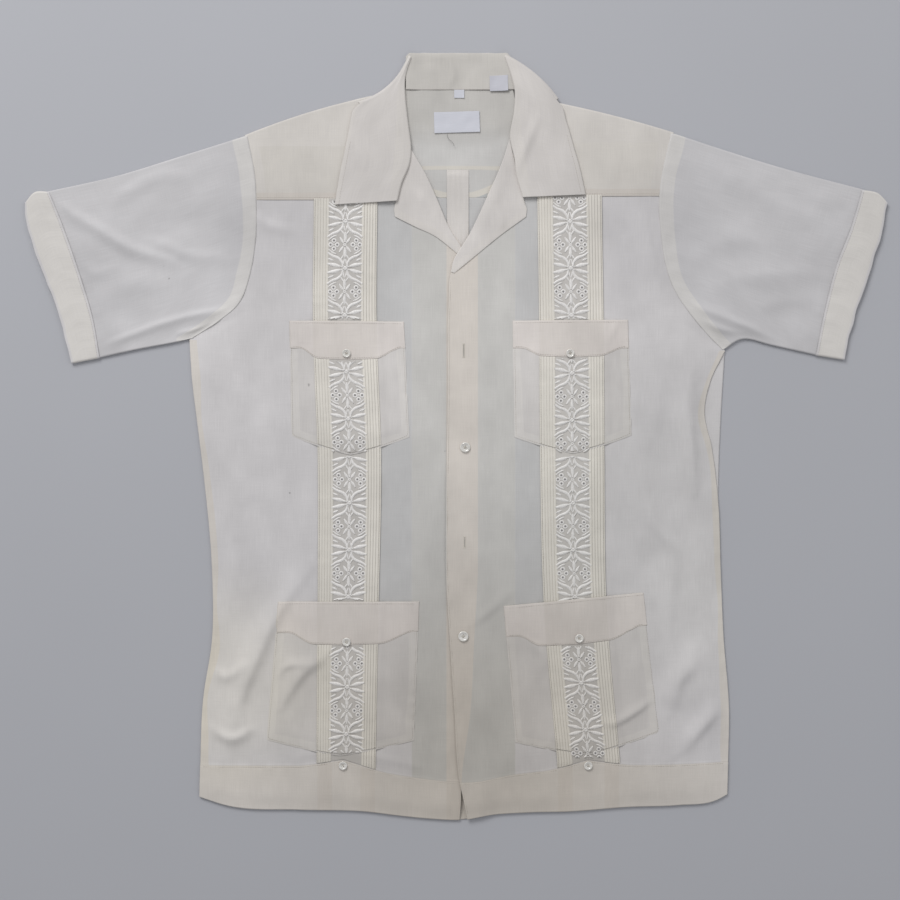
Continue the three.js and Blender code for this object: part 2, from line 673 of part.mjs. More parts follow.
// ---- Tucked bands, pockets and flaps --------------------------------------------------------
// Each band runs down a front from the yoke seam to a button above the hem.
const BANDS = {
  right: [
    { left: [-153, -350], right: [-90, -351] },
    { left: [-152, -200], right: [-85, -200] },
    { left: [-152, -17], right: [-82, -17] },
    { left: [-157, 128], right: [-87, 128] },
    { left: [-156, 253], right: [-86, 253] },
  ],
  left: [
    { left: [110, -350], right: [176, -349] },
    { left: [97, -200], right: [166, -200] },
    { left: [92, -17], right: [163, -17] },
    { left: [91, 128], right: [162, 128] },
    { left: [89, 257], right: [160, 257] },
  ],
};

// Stations across a band, with the height of each: a row of tucks on both sides of a plain middle.
function tuckProfile(width) {
  const half = TUCK_PITCH / 2;
  const side = Array.from({ length: 2 * TUCKS + 1 }, (_, i) => ({
    from: i * half,
    high: i % 2 ? TUCK_HIGH : 0,
  }));
  const mirrored = side.map(({ from, high }) => ({ from: width - from, high })).reverse();
  const middle = [0.4, 0.5, 0.6].map((share) => ({ from: width * share, high: 0 }));
  return [...side, ...middle, ...mirrored].map(({ from, high }) => ({ u: from / width, high }));
}

function addBand(name, rows, counts, under) {
  const profile = tuckProfile(distance(rows[0].left, rows[0].right));
  const left = curveThrough(rows.map((row) => row.left));
  const right = curveThrough(rows.map((row) => row.right));
  addWall(
    name,
    "doubled",
    profile.map((_, i) => i),
    steps(counts),
    (station, v) => {
      const plan = mixPoint(left(v), right(v), profile[station].u);
      return [...plan, under(plan)];
    },
    (station) => TUCK_BASE + profile[station].high,
  );
}

const ON_FRONT = FRONT_TOP + ON_PANEL;

// Corners of each pocket, how far its bottom edge dips to a point, and the lower edge of its flap.
const POCKETS = [
  {
    name: "chest_right",
    top: [[-183, 127], [-57, 126]],
    bottom: [[-181, 0], [-51, -1]],
    dip: 23,
    flap: [[-182, 97], [-55, 97]],
    flapDip: 13,
    button: [-120, 91],
    side: "right",
  },
  {
    name: "chest_left",
    top: [[62, 127], [189, 128]],
    bottom: [[64, -1], [193, 1]],
    dip: 18,
    flap: [[62, 97], [190, 97]],
    flapDip: 10,
    button: [125, 91],
    side: "left",
  },
  {
    name: "hip_right",
    top: [[-195, -181], [-40, -181]],
    bottom: [[-208, -333], [-46, -334]],
    dip: 17,
    flap: [[-196.5, -215], [-41, -214]],
    flapDip: 14,
    button: [-120, -225],
    side: "right",
  },
  {
    name: "hip_left",
    top: [[52, -186], [206, -171]],
    bottom: [[65, -336], [224, -325]],
    dip: 22,
    flap: [[55, -220], [210, -207]],
    flapDip: 14,
    button: [135, -221],
    side: "left",
  },
];
const FLAP_INSET = 0.6;
const SWELL = { full: 11, fade: 14 }; // a pocket rises over the band below it this far outside it

// How far a pocket lies above the front at a point: it swells over the band.
function pocketUnder(side, [x, y]) {
  const rows = BANDS[side];
  const row = Math.max(1, rows.findIndex((next) => next.left[1] > y));
  const [low, high] = [rows[row - 1], rows[row]];
  const t = clamp01((y - low.left[1]) / (high.left[1] - low.left[1]));
  const edges = [mix(low.left[0], high.left[0], t), mix(low.right[0], high.right[0], t)];
  const outside = Math.max(edges[0] - x, x - edges[1], 0);
  return ON_FRONT + (BAND_RISE + SEAM) * smooth(1 - (outside - SWELL.full) / SWELL.fade);
}

const POCKET_STATIONS = [0, 0.1, 0.2, 0.3, 0.4, 0.5, 0.6, 0.7, 0.8, 0.9, 1];

function addPocket({ name, top, bottom, dip, flap, flapDip, button, side }) {
  const swell = (point) => pocketUnder(side, point);
  const onPocket = (point) => swell(point) + CLOTH + ON_PANEL;
  // The bottom comes to a blunt point, and the flap's edge to a bracket's point.
  const dipped = (line, depth, power) => (u) => {
    const [x, y] = mixPoint(...line, u);
    return [x, y - depth * (1 - Math.abs(2 * u - 1)) ** power];
  };
  const bottomEdge = dipped(bottom, dip, 1);
  const flapEdge = dipped(flap, flapDip, 1.4);
  const pocketPlan = (u, v) => mixPoint(bottomEdge(u), mixPoint(...top, u), v);
  addWall(`pocket_${name}`, "sheer", POCKET_STATIONS, steps(5), (u, v) => {
    const point = pocketPlan(u, v);
    return [...point, swell(point)];
  });
  addWall(`flap_${name}`, "doubled", POCKET_STATIONS, steps(2), (u, v) => {
    const [x, y] = mixPoint(flapEdge(u), mixPoint(...top, u), v);
    const point = [x + FLAP_INSET * (1 - 2 * u), y - FLAP_INSET * v];
    return [...point, onPocket(point)];
  });
  // The tucks on the pocket run from under the flap's edge to the bottom.
  const width = distance(...bottom);
  const bandWidth = distance(BANDS[side][1].left, BANDS[side][1].right) - 2;
  const centre = (button[0] - mix(bottom[0][0], top[0][0], 0.75)) / width;
  const profile = tuckProfile(bandWidth);
  addWall(
    `tucks_${name}`,
    "doubled",
    profile.map((_, i) => i),
    steps(4),
    (station, v) => {
      const u = centre + (profile[station].u - 0.5) * (bandWidth / width);
      const [low, high] = [pocketPlan(u, 0), pocketPlan(u, 1)];
      const edge = flapEdge((high[0] - flap[0][0]) / (flap[1][0] - flap[0][0]))[1];
      const reach = (edge - ON_PANEL * 4 - low[1]) / (high[1] - low[1]);
      const point = mixPoint(low, high, mix(0.012, reach, v));
      return [...point, onPocket(point)];
    },
    (station) => TUCK_BASE + profile[station].high,
  );
  addButton(`button_${name}`, button, onPocket(button) + CLOTH + ON_PANEL, BUTTON.small);
}

// ---- Buttons and labels ---------------------------------------------------------------------
const BUTTON = { large: 11.4, small: 9.5, thick: 2.0, rim: 0.5, sides: 12 };
function addButton(name, [x, y], under, diameter) {
  const radius = diameter / 2;
  const profile = [
    [0, 0],
    [radius * 0.8, 0],
    [radius, BUTTON.rim],
    [radius, BUTTON.thick - BUTTON.rim],
    [radius * 0.86, BUTTON.thick],
    [radius * 0.6, BUTTON.thick - BUTTON.rim],
    [0, BUTTON.thick - BUTTON.rim],
  ].map(([r, z]) => new THREE.Vector2(r, z));
  const geometry = new THREE.LatheGeometry(profile, BUTTON.sides);
  geometry.rotateX(Math.PI / 2);
  geometry.translate(x, y, under);
  const mesh = new THREE.Mesh(geometry, new THREE.MeshStandardMaterial(COLOURS.pearl));
  mesh.name = name;
  shirt.add(mesh);
}

function addLooseButtons() {
  const onPlacket = FRONT_TOP + OVERLAP_RISE + PLACKET_CLOTH - CLOTH + ON_PANEL;
  for (const [place, at] of Object.entries(FRONT_BUTTONS))
    addButton(`button_front_${place}`, at, onPlacket, BUTTON.large);
  for (const [place, at] of Object.entries(HEM_BUTTONS)) {
    addButton(`button_hem_${place}`, at, FRONT_UNDER + HEM_CLOTH + ON_PANEL, BUTTON.small);
  }
}

// Blank woven labels: one on the yoke, a size tab and a care tab at the neck seam.
const LABELS = {
  neck_label: { centre: [1, 345], size: [50, 23], turn: 0.03 },
  size_tab: { centre: [3.5, 376], size: [11, 9], turn: 0 },
  care_tab: { centre: [47, 387.5], size: [20, 17], turn: 0.02 },
};
const LABEL_CLOTH = 0.6;
function addLabels() {
  for (const [name, { centre, size, turn }] of Object.entries(LABELS))
    addWall(
      name,
      "label",
      steps(2),
      steps(2),
      (u, v) => {
        const [across, along] = [(u - 0.5) * size[0], (v - 0.5) * size[1]];
        const point = [
          centre[0] + across * Math.cos(turn) - along * Math.sin(turn),
          centre[1] + across * Math.sin(turn) + along * Math.cos(turn),
        ];
        return [...point, neckLift(centre) + CLOTH + ON_PANEL];
      },
      () => LABEL_CLOTH,
    );
}

// ---- The whole shirt ------------------------------------------------------------------------
addBack();
addBackTucks();
addBackYoke();
addFronts();
for (const side of ["right", "left"]) {
  addYoke(side);
  addSleeve(side);
  addLapel(side);
  addBand(`band_${side}`, BANDS[side], 8, () => ON_FRONT);
}
addCollar();
addStand();
POCKETS.forEach(addPocket);
addLooseButtons();
addLabels();

export default shirt;
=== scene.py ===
"""A short-sleeved guayabera of thin ivory cloth, laid flat on its back.

Lengths in the tables are millimetres in the frame's own axes: +X runs to the wearer's left sleeve,
+Y from the hem to the collar and +Z up through the shirt's front. Meshes are written in metres.
"""

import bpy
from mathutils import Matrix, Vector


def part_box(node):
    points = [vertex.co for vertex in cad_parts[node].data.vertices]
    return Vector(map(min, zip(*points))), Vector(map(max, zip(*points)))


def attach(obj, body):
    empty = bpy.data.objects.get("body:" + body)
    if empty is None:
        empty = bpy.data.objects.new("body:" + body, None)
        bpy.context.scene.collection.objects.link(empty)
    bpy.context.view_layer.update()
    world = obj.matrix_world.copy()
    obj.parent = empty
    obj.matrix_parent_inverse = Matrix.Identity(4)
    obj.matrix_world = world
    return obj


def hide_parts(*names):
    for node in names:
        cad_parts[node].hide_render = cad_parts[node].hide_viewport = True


bl_info = {
    "name": "Guayabera Shirt",
    "version": (1, 0, 0),
    "blender": (4, 5, 0),
    "location": "3D View > Sidebar > Guayabera",
    "description": "Builds a laid-out guayabera shirt with tucked and embroidered bands",
    "category": "Add Mesh",
}

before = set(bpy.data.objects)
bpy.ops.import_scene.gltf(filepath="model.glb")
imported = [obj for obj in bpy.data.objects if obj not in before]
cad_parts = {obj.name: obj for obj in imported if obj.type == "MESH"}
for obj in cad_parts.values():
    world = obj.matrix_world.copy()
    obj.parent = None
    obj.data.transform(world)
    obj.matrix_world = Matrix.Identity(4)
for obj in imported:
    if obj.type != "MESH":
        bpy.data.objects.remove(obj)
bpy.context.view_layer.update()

import math

import bpy
import numpy as np

MM = 0.001
SIDES = ("right", "left")

# ---- How the layers lie, in millimetres ----
FRONT_TOP = 3.6  # top of the fronts above the floor
FRONT_EDGE_TOP = 2.0  # top of a front where it comes down to the back at a seam
SIDE_FALL = 26.0  # distance over which it comes down
OVERLAP_RISE = 2.05  # how much higher the left front lies over the right one
CLOTH_WALL = 0.7  # wall of one thin sheet
YOKE_LIFT = 0.55  # a front yoke above the front
COLLAR_TOP = 7.4  # top of the collar's leaves above the floor
COLLAR_WALL = 1.4

# ---- Outlines: (height up the shirt, distance across it) ----
UNDERARM = {"right": 108.0, "left": 95.0}
YOKE_SEAM = {"right": 260.5, "left": 264.5}
FRONT_SIDE = {
    "right": [(-396, -282), (-361, -281), (-290, -278), (-222, -268), (-149, -268), (-45, -277),
              (12, -284), (62, -290), (108, -293)],
    "left": [(-393, 298), (-357, 299), (-300, 300), (-220, 294), (-149, 291), (-70, 288), (-12, 281),
             (27, 273), (62, 280), (95, 296)],
}
BACK_SIDE = {
    "right": FRONT_SIDE["right"],
    "left": [(-393, 298), (-357, 299), (-300, 300), (-220, 294), (-147, 291), (-46, 289), (8, 291),
             (95, 296)],
}
ARMHOLE = {
    "right": [(108, -293), (118, -277), (128, -262), (148, -240), (182, -228), (224, -222),
              (260.5, -222), (290, -224), (331, -232)],
    "left": [(95, 296), (112, 279), (132, 262), (160, 243), (192, 232), (240, 226), (264.5, 226),
             (290, 229), (334, 239)],
}
FRONT_EDGE = {
    "right": [(-421, 4), (-400, 5.5), (-379, 6), (-300, 16), (-222, 20), (-149, 24), (-45, 25),
              (108, 24), (148, 23), (176, 20), (209, 6), (232, -10), (262, -24)],
    "left": [(-421, 12.5), (-400, 8.5), (-379, 4), (-300, -2), (-222, -7), (-149, -11), (-70, -11),
             (-12, -10), (62, -9), (126, -9), (152, -8), (178, -6), (209, 11), (232, 22), (266, 35)],
}
# The hem's free edge and its upper, stitched edge: (distance across, height up).
HEM_EDGE = [(-284, -395), (-253, -405), (-172, -410), (-100, -412), (-58, -417), (-26, -420),
            (6, -421), (36, -416), (80, -413), (123, -412), (189, -407), (243, -405), (287, -399),
            (300, -392)]
HEM_TOP = [(-284, -361), (-227, -361), (-150, -362), (-92, -367), (-46, -374), (4, -379), (15, -379),
           (63, -371), (110, -366), (147, -363), (180, -361), (232, -360), (300, -357)]
HEM_PEAKS = [(-124, 9.0), (145, 8.0)]  # where the hem's upper edge rises to a button, and how high
HEM_PEAK_HALF = 50.0
HEM_STEP = 0.55  # how much higher the doubled hem lies than the front
BACK_HEM_RISE = 34.0  # how much higher the back's hem lies behind the slit between the fronts

# Shoulder folds, and how far their middle bulges.
SHOULDER = {
    "right": {"arm": (-232, 331), "neck": (-66, 379), "bulge": 5.0},
    "left": {"arm": (239, 334), "neck": (72, 374), "bulge": 3.0},
}
YOKE_NECK = {
    "right": [(260.5, -23), (286, -35), (314, -55), (345, -64), (372, -66)],
    "left": [(264.5, 34), (288, 46), (316, 66), (345, 70), (374, 72)],
}

SLEEVES = {
    "right": {
        "seam": [(-447, 269), (-431, 230), (-413, 178), (-399, 131), (-391, 86)],
        "fold": [(-302, 308), (-374, 286)],
        "underarm": [(-311, 103), (-353, 95)],
        "end": [(-473, 257), (-469, 224), (-450, 172), (-434, 127), (-422, 80)],
        "cuff_fold": (-462.5, 268.5),
    },
    "left": {
        "seam": [(446, 271), (433, 228), (417, 186), (404, 135), (395, 89)],
        "fold": [(306, 311), (369, 292)],
        "underarm": [(316, 107), (348, 100)],
        "end": [(473, 257), (468, 226), (452, 174), (437, 130), (426, 84)],
        "cuff_fold": (463, 267.5),
    },
}

# The collar in sections from the wearer's right point to the left: its roll, and its free edge.
COLLAR_SECTIONS = [
    ((-66, 258), (-133, 254)), ((-61, 278), (-130, 272)), ((-53, 297), (-127, 290)),
    ((-51, 316), (-123, 308)), ((-54, 342), (-119, 327)), ((-57, 370), (-116, 344)),
    ((-57, 392), (-113, 357)), ((-53, 417), (-108, 367.5)), ((-42, 419.5), (-80, 364)),
    ((-24, 419.5), (-46, 349.6)), ((0, 419.5), (0, 342)), ((24, 419.5), (46, 349.6)),
    ((44, 419.5), (82, 365)), ((57, 418), (112.5, 371)), ((62, 394), (117, 360)),
    ((66, 376), (120, 348)), ((65, 354), (124, 335)), ((61, 328), (129, 317)),
    ((66, 304), (134, 300)), ((68, 286), (138, 284)), ((75, 262), (142, 265)),
]
COLLAR_TURNS = (7, 13)  # numbers of the two sections where it turns over the shoulders
COLLAR_BACK_LOW, COLLAR_BACK_RISE, COLLAR_BACK_HALF = 342.0, 37.0, 101.0
FOLD_BOW = (-9.0, 4.5)  # how far the right and left folds of the collar bow outwards
NECK_SEAM = 381.0
STAND = {"ends": (-55.0, 70.0), "corners": (-51.5, 56.0), "high": 420.7, "fall": 1.1}

LAPELS = {
    "right": {
        "roll": [(6, 205), (-9, 230), (-20, 256), (-32, 283), (-42, 301), (-49, 313)],
        "edge": [(1.5, 200.5), (-22, 219), (-45, 230), (-67, 241), (-68, 249), (-66.5, 256)],
    },
    "left": {
        "roll": [(-5, 180), (0, 196), (16, 222), (33, 258), (50, 297), (59, 325)],
        "edge": [(-2, 179), (22, 198.5), (48, 220), (77, 241), (78, 250), (73.5, 259.5)],
    },
}

# Bands: (height up, distance across) of their two long edges.
BANDS = {
    "right": {
        "outer": [(-358, -153), (-200, -152), (-17, -152), (128, -157), (262, -156)],
        "inner": [(-358, -88), (-200, -85), (-17, -82), (128, -87), (262, -86)],
    },
    "left": {
        "outer": [(-357, 180), (-200, 166), (-17, 163), (128, 162), (266, 160)],
        "inner": [(-357, 111), (-200, 97), (-17, 92), (128, 91), (266, 89)],
    },
}
TUCKS = 5
TUCK_PITCH = 3.1
TUCK_FIRST = 1.8  # plain edge outside the first tuck
BAND_WIDTH = 70.5
ON_BASE = CLOTH_WALL - 0.1  # a band's face above what it is laid on, so that its wall just sinks in
FACINGS = (-48.4, 64.9)  # how far across the fronts' facings reach

POCKETS = {
    "chest_right": {
        "side": "right", "top": ((-183, 127), (-57, 126)), "bottom": ((-181, 0), (-51, -1)),
        "dip": 20, "flap": ((-182, 97), (-55, 97)), "flap_dip": 13},
    "chest_left": {
        "side": "left", "top": ((62, 127), (189, 128)), "bottom": ((64, -1), (193, 1)),
        "dip": 19, "flap": ((62, 97), (190, 97)), "flap_dip": 10},
    "hip_right": {
        "side": "right", "top": ((-195, -181), (-40, -181)), "bottom": ((-208, -333), (-46, -334)),
        "dip": 17, "flap": ((-196.5, -215), (-41, -214)), "flap_dip": 14},
    "hip_left": {
        "side": "left", "top": ((52, -186), (206, -171)), "bottom": ((65, -336), (224, -325)),
        "dip": 19, "flap": ((55, -220), (210, -207)), "flap_dip": 14},
}

FRONT_BUTTONS = ("upper", "lower")
BUTTON_LARGE, BUTTON_SMALL = 11.4, 9.5
BUTTONHOLES = [(8.5, 94, 15), (9.5, -116, 12)]  # place, and length up the placket

LABELS = {
    "neck_label": {"centre": (1, 345), "size": (50, 23), "turn": 0.03},
    "size_tab": {"centre": (3.5, 376), "size": (11, 9), "turn": 0.0},
    "care_tab": {"centre": (47, 387.5), "size": (20, 17), "turn": 0.02},
}

# Creases: a line of points, half width, height (below zero is a trough) and how much steeper its
# left-hand side is, looking along the line.
CREASES = {
"body": [
    ([(-220, 243), (-204, 232), (-176, 226)], 6, 2.6, 0.55),
    ([(-157, -139), (-194, -191), (-219, -246), (-238, -293), (-231, -320)], 12, 7.4, 0.42),
    ([(-276, -252), (-252, -262), (-232, -250)], 6, 3.8, 0.55),
    ([(-272, -318), (-246, -330), (-226, -322)], 6, 4.2, 0.5),
    ([(-262, -250), (-246, -300), (-250, -350)], 12, 2.6, 0.6),
    ([(-176, -350), (-120, -345), (-40, -362)], 4, 2.0, 0.6),
    ([(294, -296), (270, -318), (250, -343)], 9, 4.6, 0.55),
    ([(262, -250), (244, -268), (236, -300)], 10, 4.0, 0.55),
    ([(260, 58), (257, 18), (263, -60)], 8, 3.6, 0.45),
    ([(282, 60), (268, 40), (262, 10)], 5, 2.6, 0.5),
    ([(-262, 92), (-240, 40), (-232, -60)], 14, 2.2, 0.8),
    ([(-214, 200), (-206, 120), (-212, 60)], 12, -1.4, 1.0),
    ([(218, 96), (222, 50), (214, 0)], 12, 1.8, 0.7),
    ([(240, -120), (232, -200), (246, -260)], 12, 3.0, 0.6),
    ([(208, -60), (222, -100), (252, -132)], 8, 3.2, 0.55),
    ([(64, -166), (44, -186), (18, -206)], 6, 2.0, 0.6),
    ([(-64, -196), (-40, -250), (-30, -320)], 13, 1.8, 0.8),
    ([(-62, 60), (-44, -20), (-56, -110)], 16, 1.2, 0.9),
    ([(58, 70), (46, -10), (60, -120)], 16, 1.2, 0.9), ([(-250, -120), (-238, -180)], 12, 2.2, 0.7),
    ([(204, 236), (214, 200), (226, 176)], 8, 1.9, 0.7),
    ([(-202, 148), (-190, 176), (-166, 200)], 10, 1.3, 0.8),
    ([(30, 176), (52, 150), (60, 110)], 9, 1.3, 0.7),
],
"pocket": [
    ([(-143, -240), (-170, -262), (-192, -296)], 9, 4.6, 0.45),
    ([(-160, -250), (-186, -252), (-204, -272)], 5, 2.4, 0.6),
    ([(217, -288), (180, -312), (163, -314)], 5, 3.2, 0.5),
    ([(78, -222), (96, -240), (92, -262)], 6, 1.8, 0.6), ([(41, -336), (64, -331)], 5, 1.4, 0.7),
    ([(-70, -262), (-56, -300)], 6, 1.4, 0.7), ([(-172, 60), (-164, 20)], 8, 0.9, 0.8),
    ([(176, 76), (180, 24)], 8, 0.8, 0.8), ([(84, -238), (78, -296)], 8, 1.2, 0.8),
    ([(176, 124), (170, 106), (178, 92)], 5, 1.3, 0.6),
],
"sleeve": [
    ([(-440, 257), (-385, 224), (-353, 205), (-311, 192)], 8, 4.6, 0.5),
    ([(-372, 261), (-332, 287), (-303, 289)], 9, 3.0, 0.6),
    ([(-332, 215), (-291, 199), (-262, 198)], 8, 2.6, 0.6),
    ([(-384, 100), (-332, 121), (-286, 134), (-250, 139)], 5, 3.0, 0.5),
    ([(-304, 113), (-278, 119), (-250, 132)], 4, 3.0, 0.5),
    ([(-292, 104), (-276, 112), (-262, 122)], 3, 1.8, 0.6),
    ([(-400, 150), (-352, 168), (-300, 166)], 14, 1.8, 0.8),
    ([(-262, 268), (-300, 250), (-350, 246)], 13, 1.4, 0.8),
    ([(-424, 196), (-398, 180), (-372, 184)], 7, 1.5, 0.7),
    ([(259, 144), (306, 126), (350, 104)], 6, 3.2, 0.5),
    ([(268, 128), (296, 116), (322, 112)], 4, 2.6, 0.6),
    ([(300, 172), (340, 178), (392, 180)], 9, 1.6, 0.6),
    ([(330, 268), (366, 250), (408, 236)], 12, 2.4, 0.7),
    ([(268, 200), (300, 214), (352, 214)], 13, 1.6, 0.8),
    ([(392, 150), (356, 148), (318, 134)], 9, 1.2, 0.7),
    ([(256, 300), (300, 284), (340, 280)], 13, 1.4, 0.8),
],
"collar": [
    ([(89, 347), (76, 315), (67, 289)], 6, 1.6, 0.6),
    ([(-62, 352), (-80, 322), (-84, 288)], 12, 0.8, 0.8),
    ([(-100, 330), (-104, 290)], 14, 0.6, 0.9), ([(120, 320), (118, 284)], 14, 0.6, 0.9),
    ([(70, 392), (92, 366), (104, 338)], 9, 1.0, 0.7), ([(46, 256), (53, 224)], 6, 1.3, 0.6),
    ([(-52, 278), (-31, 252)], 6, 1.2, 0.6),
],
"neck": [
    ([(-8, 416), (-2, 398), (-6, 384)], 4, 1.3, 0.6), ([(-30, 410), (-24, 396)], 5, 0.7, 0.7),
    ([(-50, 340), (-30, 318)], 10, 0.7, 0.8), ([(40, 360), (46, 330)], 10, 0.8, 0.8),
    ([(-34, 362), (-20, 352), (-22, 330)], 7, 0.6, 0.8),
],
"back": [
    ([(-190, 180), (-150, 120), (-160, 20)], 12, 0.7, 0.6),
    ([(210, 190), (180, 90), (196, 0)], 12, 0.7, 0.6),
    ([(-80, 60), (-60, -60), (-90, -200)], 14, 0.6, 0.7),
    ([(90, 20), (110, -120), (84, -260)], 14, 0.6, 0.7),
    ([(-230, -180), (-190, -240), (-200, -320)], 10, 0.8, 0.6),
    ([(236, -200), (214, -270), (160, -320)], 10, 0.8, 0.6),
    ([(-40, 200), (-10, 150), (-24, 60)], 10, 0.5, 0.7),
],
}


def settings():
    """The sizes and colours that the panel holds."""
    return bpy.context.scene.guayabera


# ---- Arithmetic on whole arrays ----
def smooth(t):
    """Eases from 0 to 1: 3t squared less 2t cubed, held flat outside."""
    t = np.clip(t, 0.0, 1.0)
    return t * t * (3.0 - 2.0 * t)


def hermite(a, b, leave, arrive, f):
    """The cubic from a to b that leaves and arrives with the two slopes, at share f."""
    return (
        a * (2 * f**3 - 3 * f**2 + 1)
        + leave * (f**3 - 2 * f**2 + f)
        + b * (3 * f**2 - 2 * f**3)
        + arrive * (f**3 - f**2)
    )


def through(pairs, at):
    """A smooth curve through (place, value) pairs, read at the places in an array."""
    places, values = np.array(pairs, float).T
    slopes = np.gradient(values, places)
    i = np.clip(np.searchsorted(places, at) - 1, 0, len(places) - 2)
    span = places[i + 1] - places[i]
    f = np.clip((at - places[i]) / span, 0.0, 1.0)
    return hermite(values[i], values[i + 1], slopes[i] * span, slopes[i + 1] * span, f)


def measured(path):
    """Length along a path of points up to each of them."""
    return np.concatenate([[0], np.cumsum(np.linalg.norm(np.diff(path, axis=0), axis=1))])


def curve(points, t, corners=()):
    """A smooth curve through points, read by their number from 0 to 1, sharp at listed corners."""
    p = np.array(points, float)
    last = len(p) - 1
    chords = np.diff(p, axis=0)
    before = np.vstack([chords[:1], chords])
    after = np.vstack([chords, chords[-1:]])
    sharp = np.isin(np.arange(len(p)), [0, last, *corners])[:, None]
    leave = np.where(sharp, after, (before + after) / 2)
    arrive = np.where(sharp, before, (before + after) / 2)
    s = np.clip(np.asarray(t, float), 0.0, 1.0) * last
    i = np.minimum(s.astype(int), last - 1)
    return hermite(p[i], p[i + 1], leave[i], arrive[i + 1], (s - i)[..., None])


def even(points, t, corners=()):
    """The same curve read by its share of the length."""
    fine = curve(points, np.linspace(0, 1, 240), corners)
    lengths = measured(fine)
    lengths /= lengths[-1]
    t = np.asarray(t, float)
    return np.stack([np.interp(t, lengths, fine[:, k]) for k in range(fine.shape[1])], axis=-1)


def spaced(length, step, edge=0.6):
    """Shares from 0 to 1 about a step apart, with one more just inside each end for a crisp edge."""
    inside = np.linspace(0, 1, max(2, round(length / step)) + 1)
    return np.unique(np.concatenate([inside, [edge / length, 1 - edge / length]]))


def to_line(points, x, y):
    """Distance from each (x, y) to a line of points, share along it, and side: 1 is on its left."""
    p = np.array(points, float)
    lengths = measured(p)
    best = np.full(np.shape(x), 1e9)
    share = np.zeros(np.shape(x))
    side = np.ones(np.shape(x))
    for k, (a, b) in enumerate(zip(p[:-1], p[1:])):
        d = b - a
        t = np.clip(((x - a[0]) * d[0] + (y - a[1]) * d[1]) / (d @ d), 0, 1)
        off_x, off_y = x - a[0] - t * d[0], y - a[1] - t * d[1]
        far = np.hypot(off_x, off_y)
        near = far < best
        best = np.where(near, far, best)
        share = np.where(near, (lengths[k] + t * (lengths[k + 1] - lengths[k])) / lengths[-1], share)
        side = np.where(near, np.sign(d[0] * off_y - d[1] * off_x + 1e-12), side)
    return best, share, side


def creased(group, x, y):
    """Height of a group of creases: a bell across each line, steeper on one side and fading at its
    ends, on a low and broad swell."""
    total = np.zeros(np.shape(x))
    for points, wide, high, steep in CREASES[group]:
        far, share, side = to_line(curve(points, np.linspace(0, 1, 9)), x, y)
        half = 1.1 * np.where(side > 0, wide * (0.15 + 0.85 * steep), wide)
        bell = 0.9 * np.exp(-((far / half) ** 2)) + 0.3 * np.exp(-((far / (2.6 * wide)) ** 2))
        total += high * bell * np.sin(np.pi * (0.12 + 0.76 * share))
    return total * settings().creases


def rumple(x, y, size, seed):
    """Soft unevenness from -1 to 1: random values on a square lattice, eased between neighbours."""
    table = np.random.RandomState(seed).uniform(-1, 1, (97, 97))
    u, v = np.asarray(x) / size + 40.37, np.asarray(y) / size + 40.71
    i, j = np.floor(u).astype(int), np.floor(v).astype(int)
    f, g = smooth(u - i), smooth(v - j)
    value = lambda a, b: table[a % 97, b % 97]
    low = value(i, j) * (1 - f) + value(i + 1, j) * f
    high = value(i, j + 1) * (1 - f) + value(i + 1, j + 1) * f
    return low * (1 - g) + high * g


def least(*arrays):
    """The least of several arrays, place by place."""
    return np.minimum.reduce(np.broadcast_arrays(*arrays))


def strip(value, low, high):
    """Signed distance into the strip between low and high, above zero inside it."""
    return np.minimum(value - low, high - value)


# ---- Where the cloth lies ----
def side_edge(side, y, table=FRONT_SIDE):
    """Distance across to the side seam below the arm, and to the armhole above it."""
    return np.where(y < UNDERARM[side], through(table[side], y), through(ARMHOLE[side], y))


def hem_top(x):
    """Height up the shirt of the hem's stitched edge: its own curve and a peak at each button."""
    y = through(HEM_TOP, x)
    for place, rise in HEM_PEAKS:
        y = y + rise * np.clip(1 - np.abs(x - place) / HEM_PEAK_HALF, 0, 1) ** 1.4
    return y


def yoke_seam(x):
    """Height up the shirt of the back yoke's seam, a straight line from arm to arm."""
    return YOKE_SEAM["right"] + (YOKE_SEAM["left"] - YOKE_SEAM["right"]) * (x + 222) / 448


def left_rise(x, y):
    """How much higher the left front lies near the middle, where it laps over the right one."""
    return OVERLAP_RISE * smooth((46 - x) / 20) * smooth(1 - (y - 200) / 32)


def neck_lift(x, y):
    """How far the collar below lifts the cloth at the back of the neck."""
    edge = COLLAR_BACK_LOW + COLLAR_BACK_RISE * (x / COLLAR_BACK_HALF) ** 2
    return 1.8 * smooth(1 - (edge - 7 - y) / 20)


def unevenness(x, y):
    """Soft waves that the whole upper layer shares, from large and shallow to small."""
    wave = 0.9 * rumple(x, y, 120, 3) + 0.8 * rumple(x, y, 46, 5) + 0.22 * rumple(x, y, 17, 8)
    below_lapels = smooth((y - 165) / 30) * smooth((92 - np.abs(x)) / 24)
    return wave * (1 - 0.5 * below_lapels)


def front_top(side, x, y):
    """Top of a front: level, down to the back at its side and hem, with creases, and climbing on
    to the other front near the middle."""
    from_side = np.abs(x - side_edge(side, y))
    from_hem = y - through(HEM_EDGE, x)
    fall = smooth(np.minimum(1, np.minimum(from_side, 1.3 * from_hem + 1.5) / SIDE_FALL))
    fall = np.where(y < UNDERARM[side], fall, np.maximum(fall, smooth((y - UNDERARM[side]) / 40)))
    top = FRONT_EDGE_TOP + (FRONT_TOP - FRONT_EDGE_TOP) * fall
    bands = np.exp(-((strip(np.abs(x), 80, 175).clip(max=0) / 30) ** 2))
    loose = fall * (1 - 0.55 * bands)
    top = top + loose * (unevenness(x, y) + creased("body", x, y))
    if side == "left":
        top = top + left_rise(x, y)
    return np.maximum(top, 1.3)


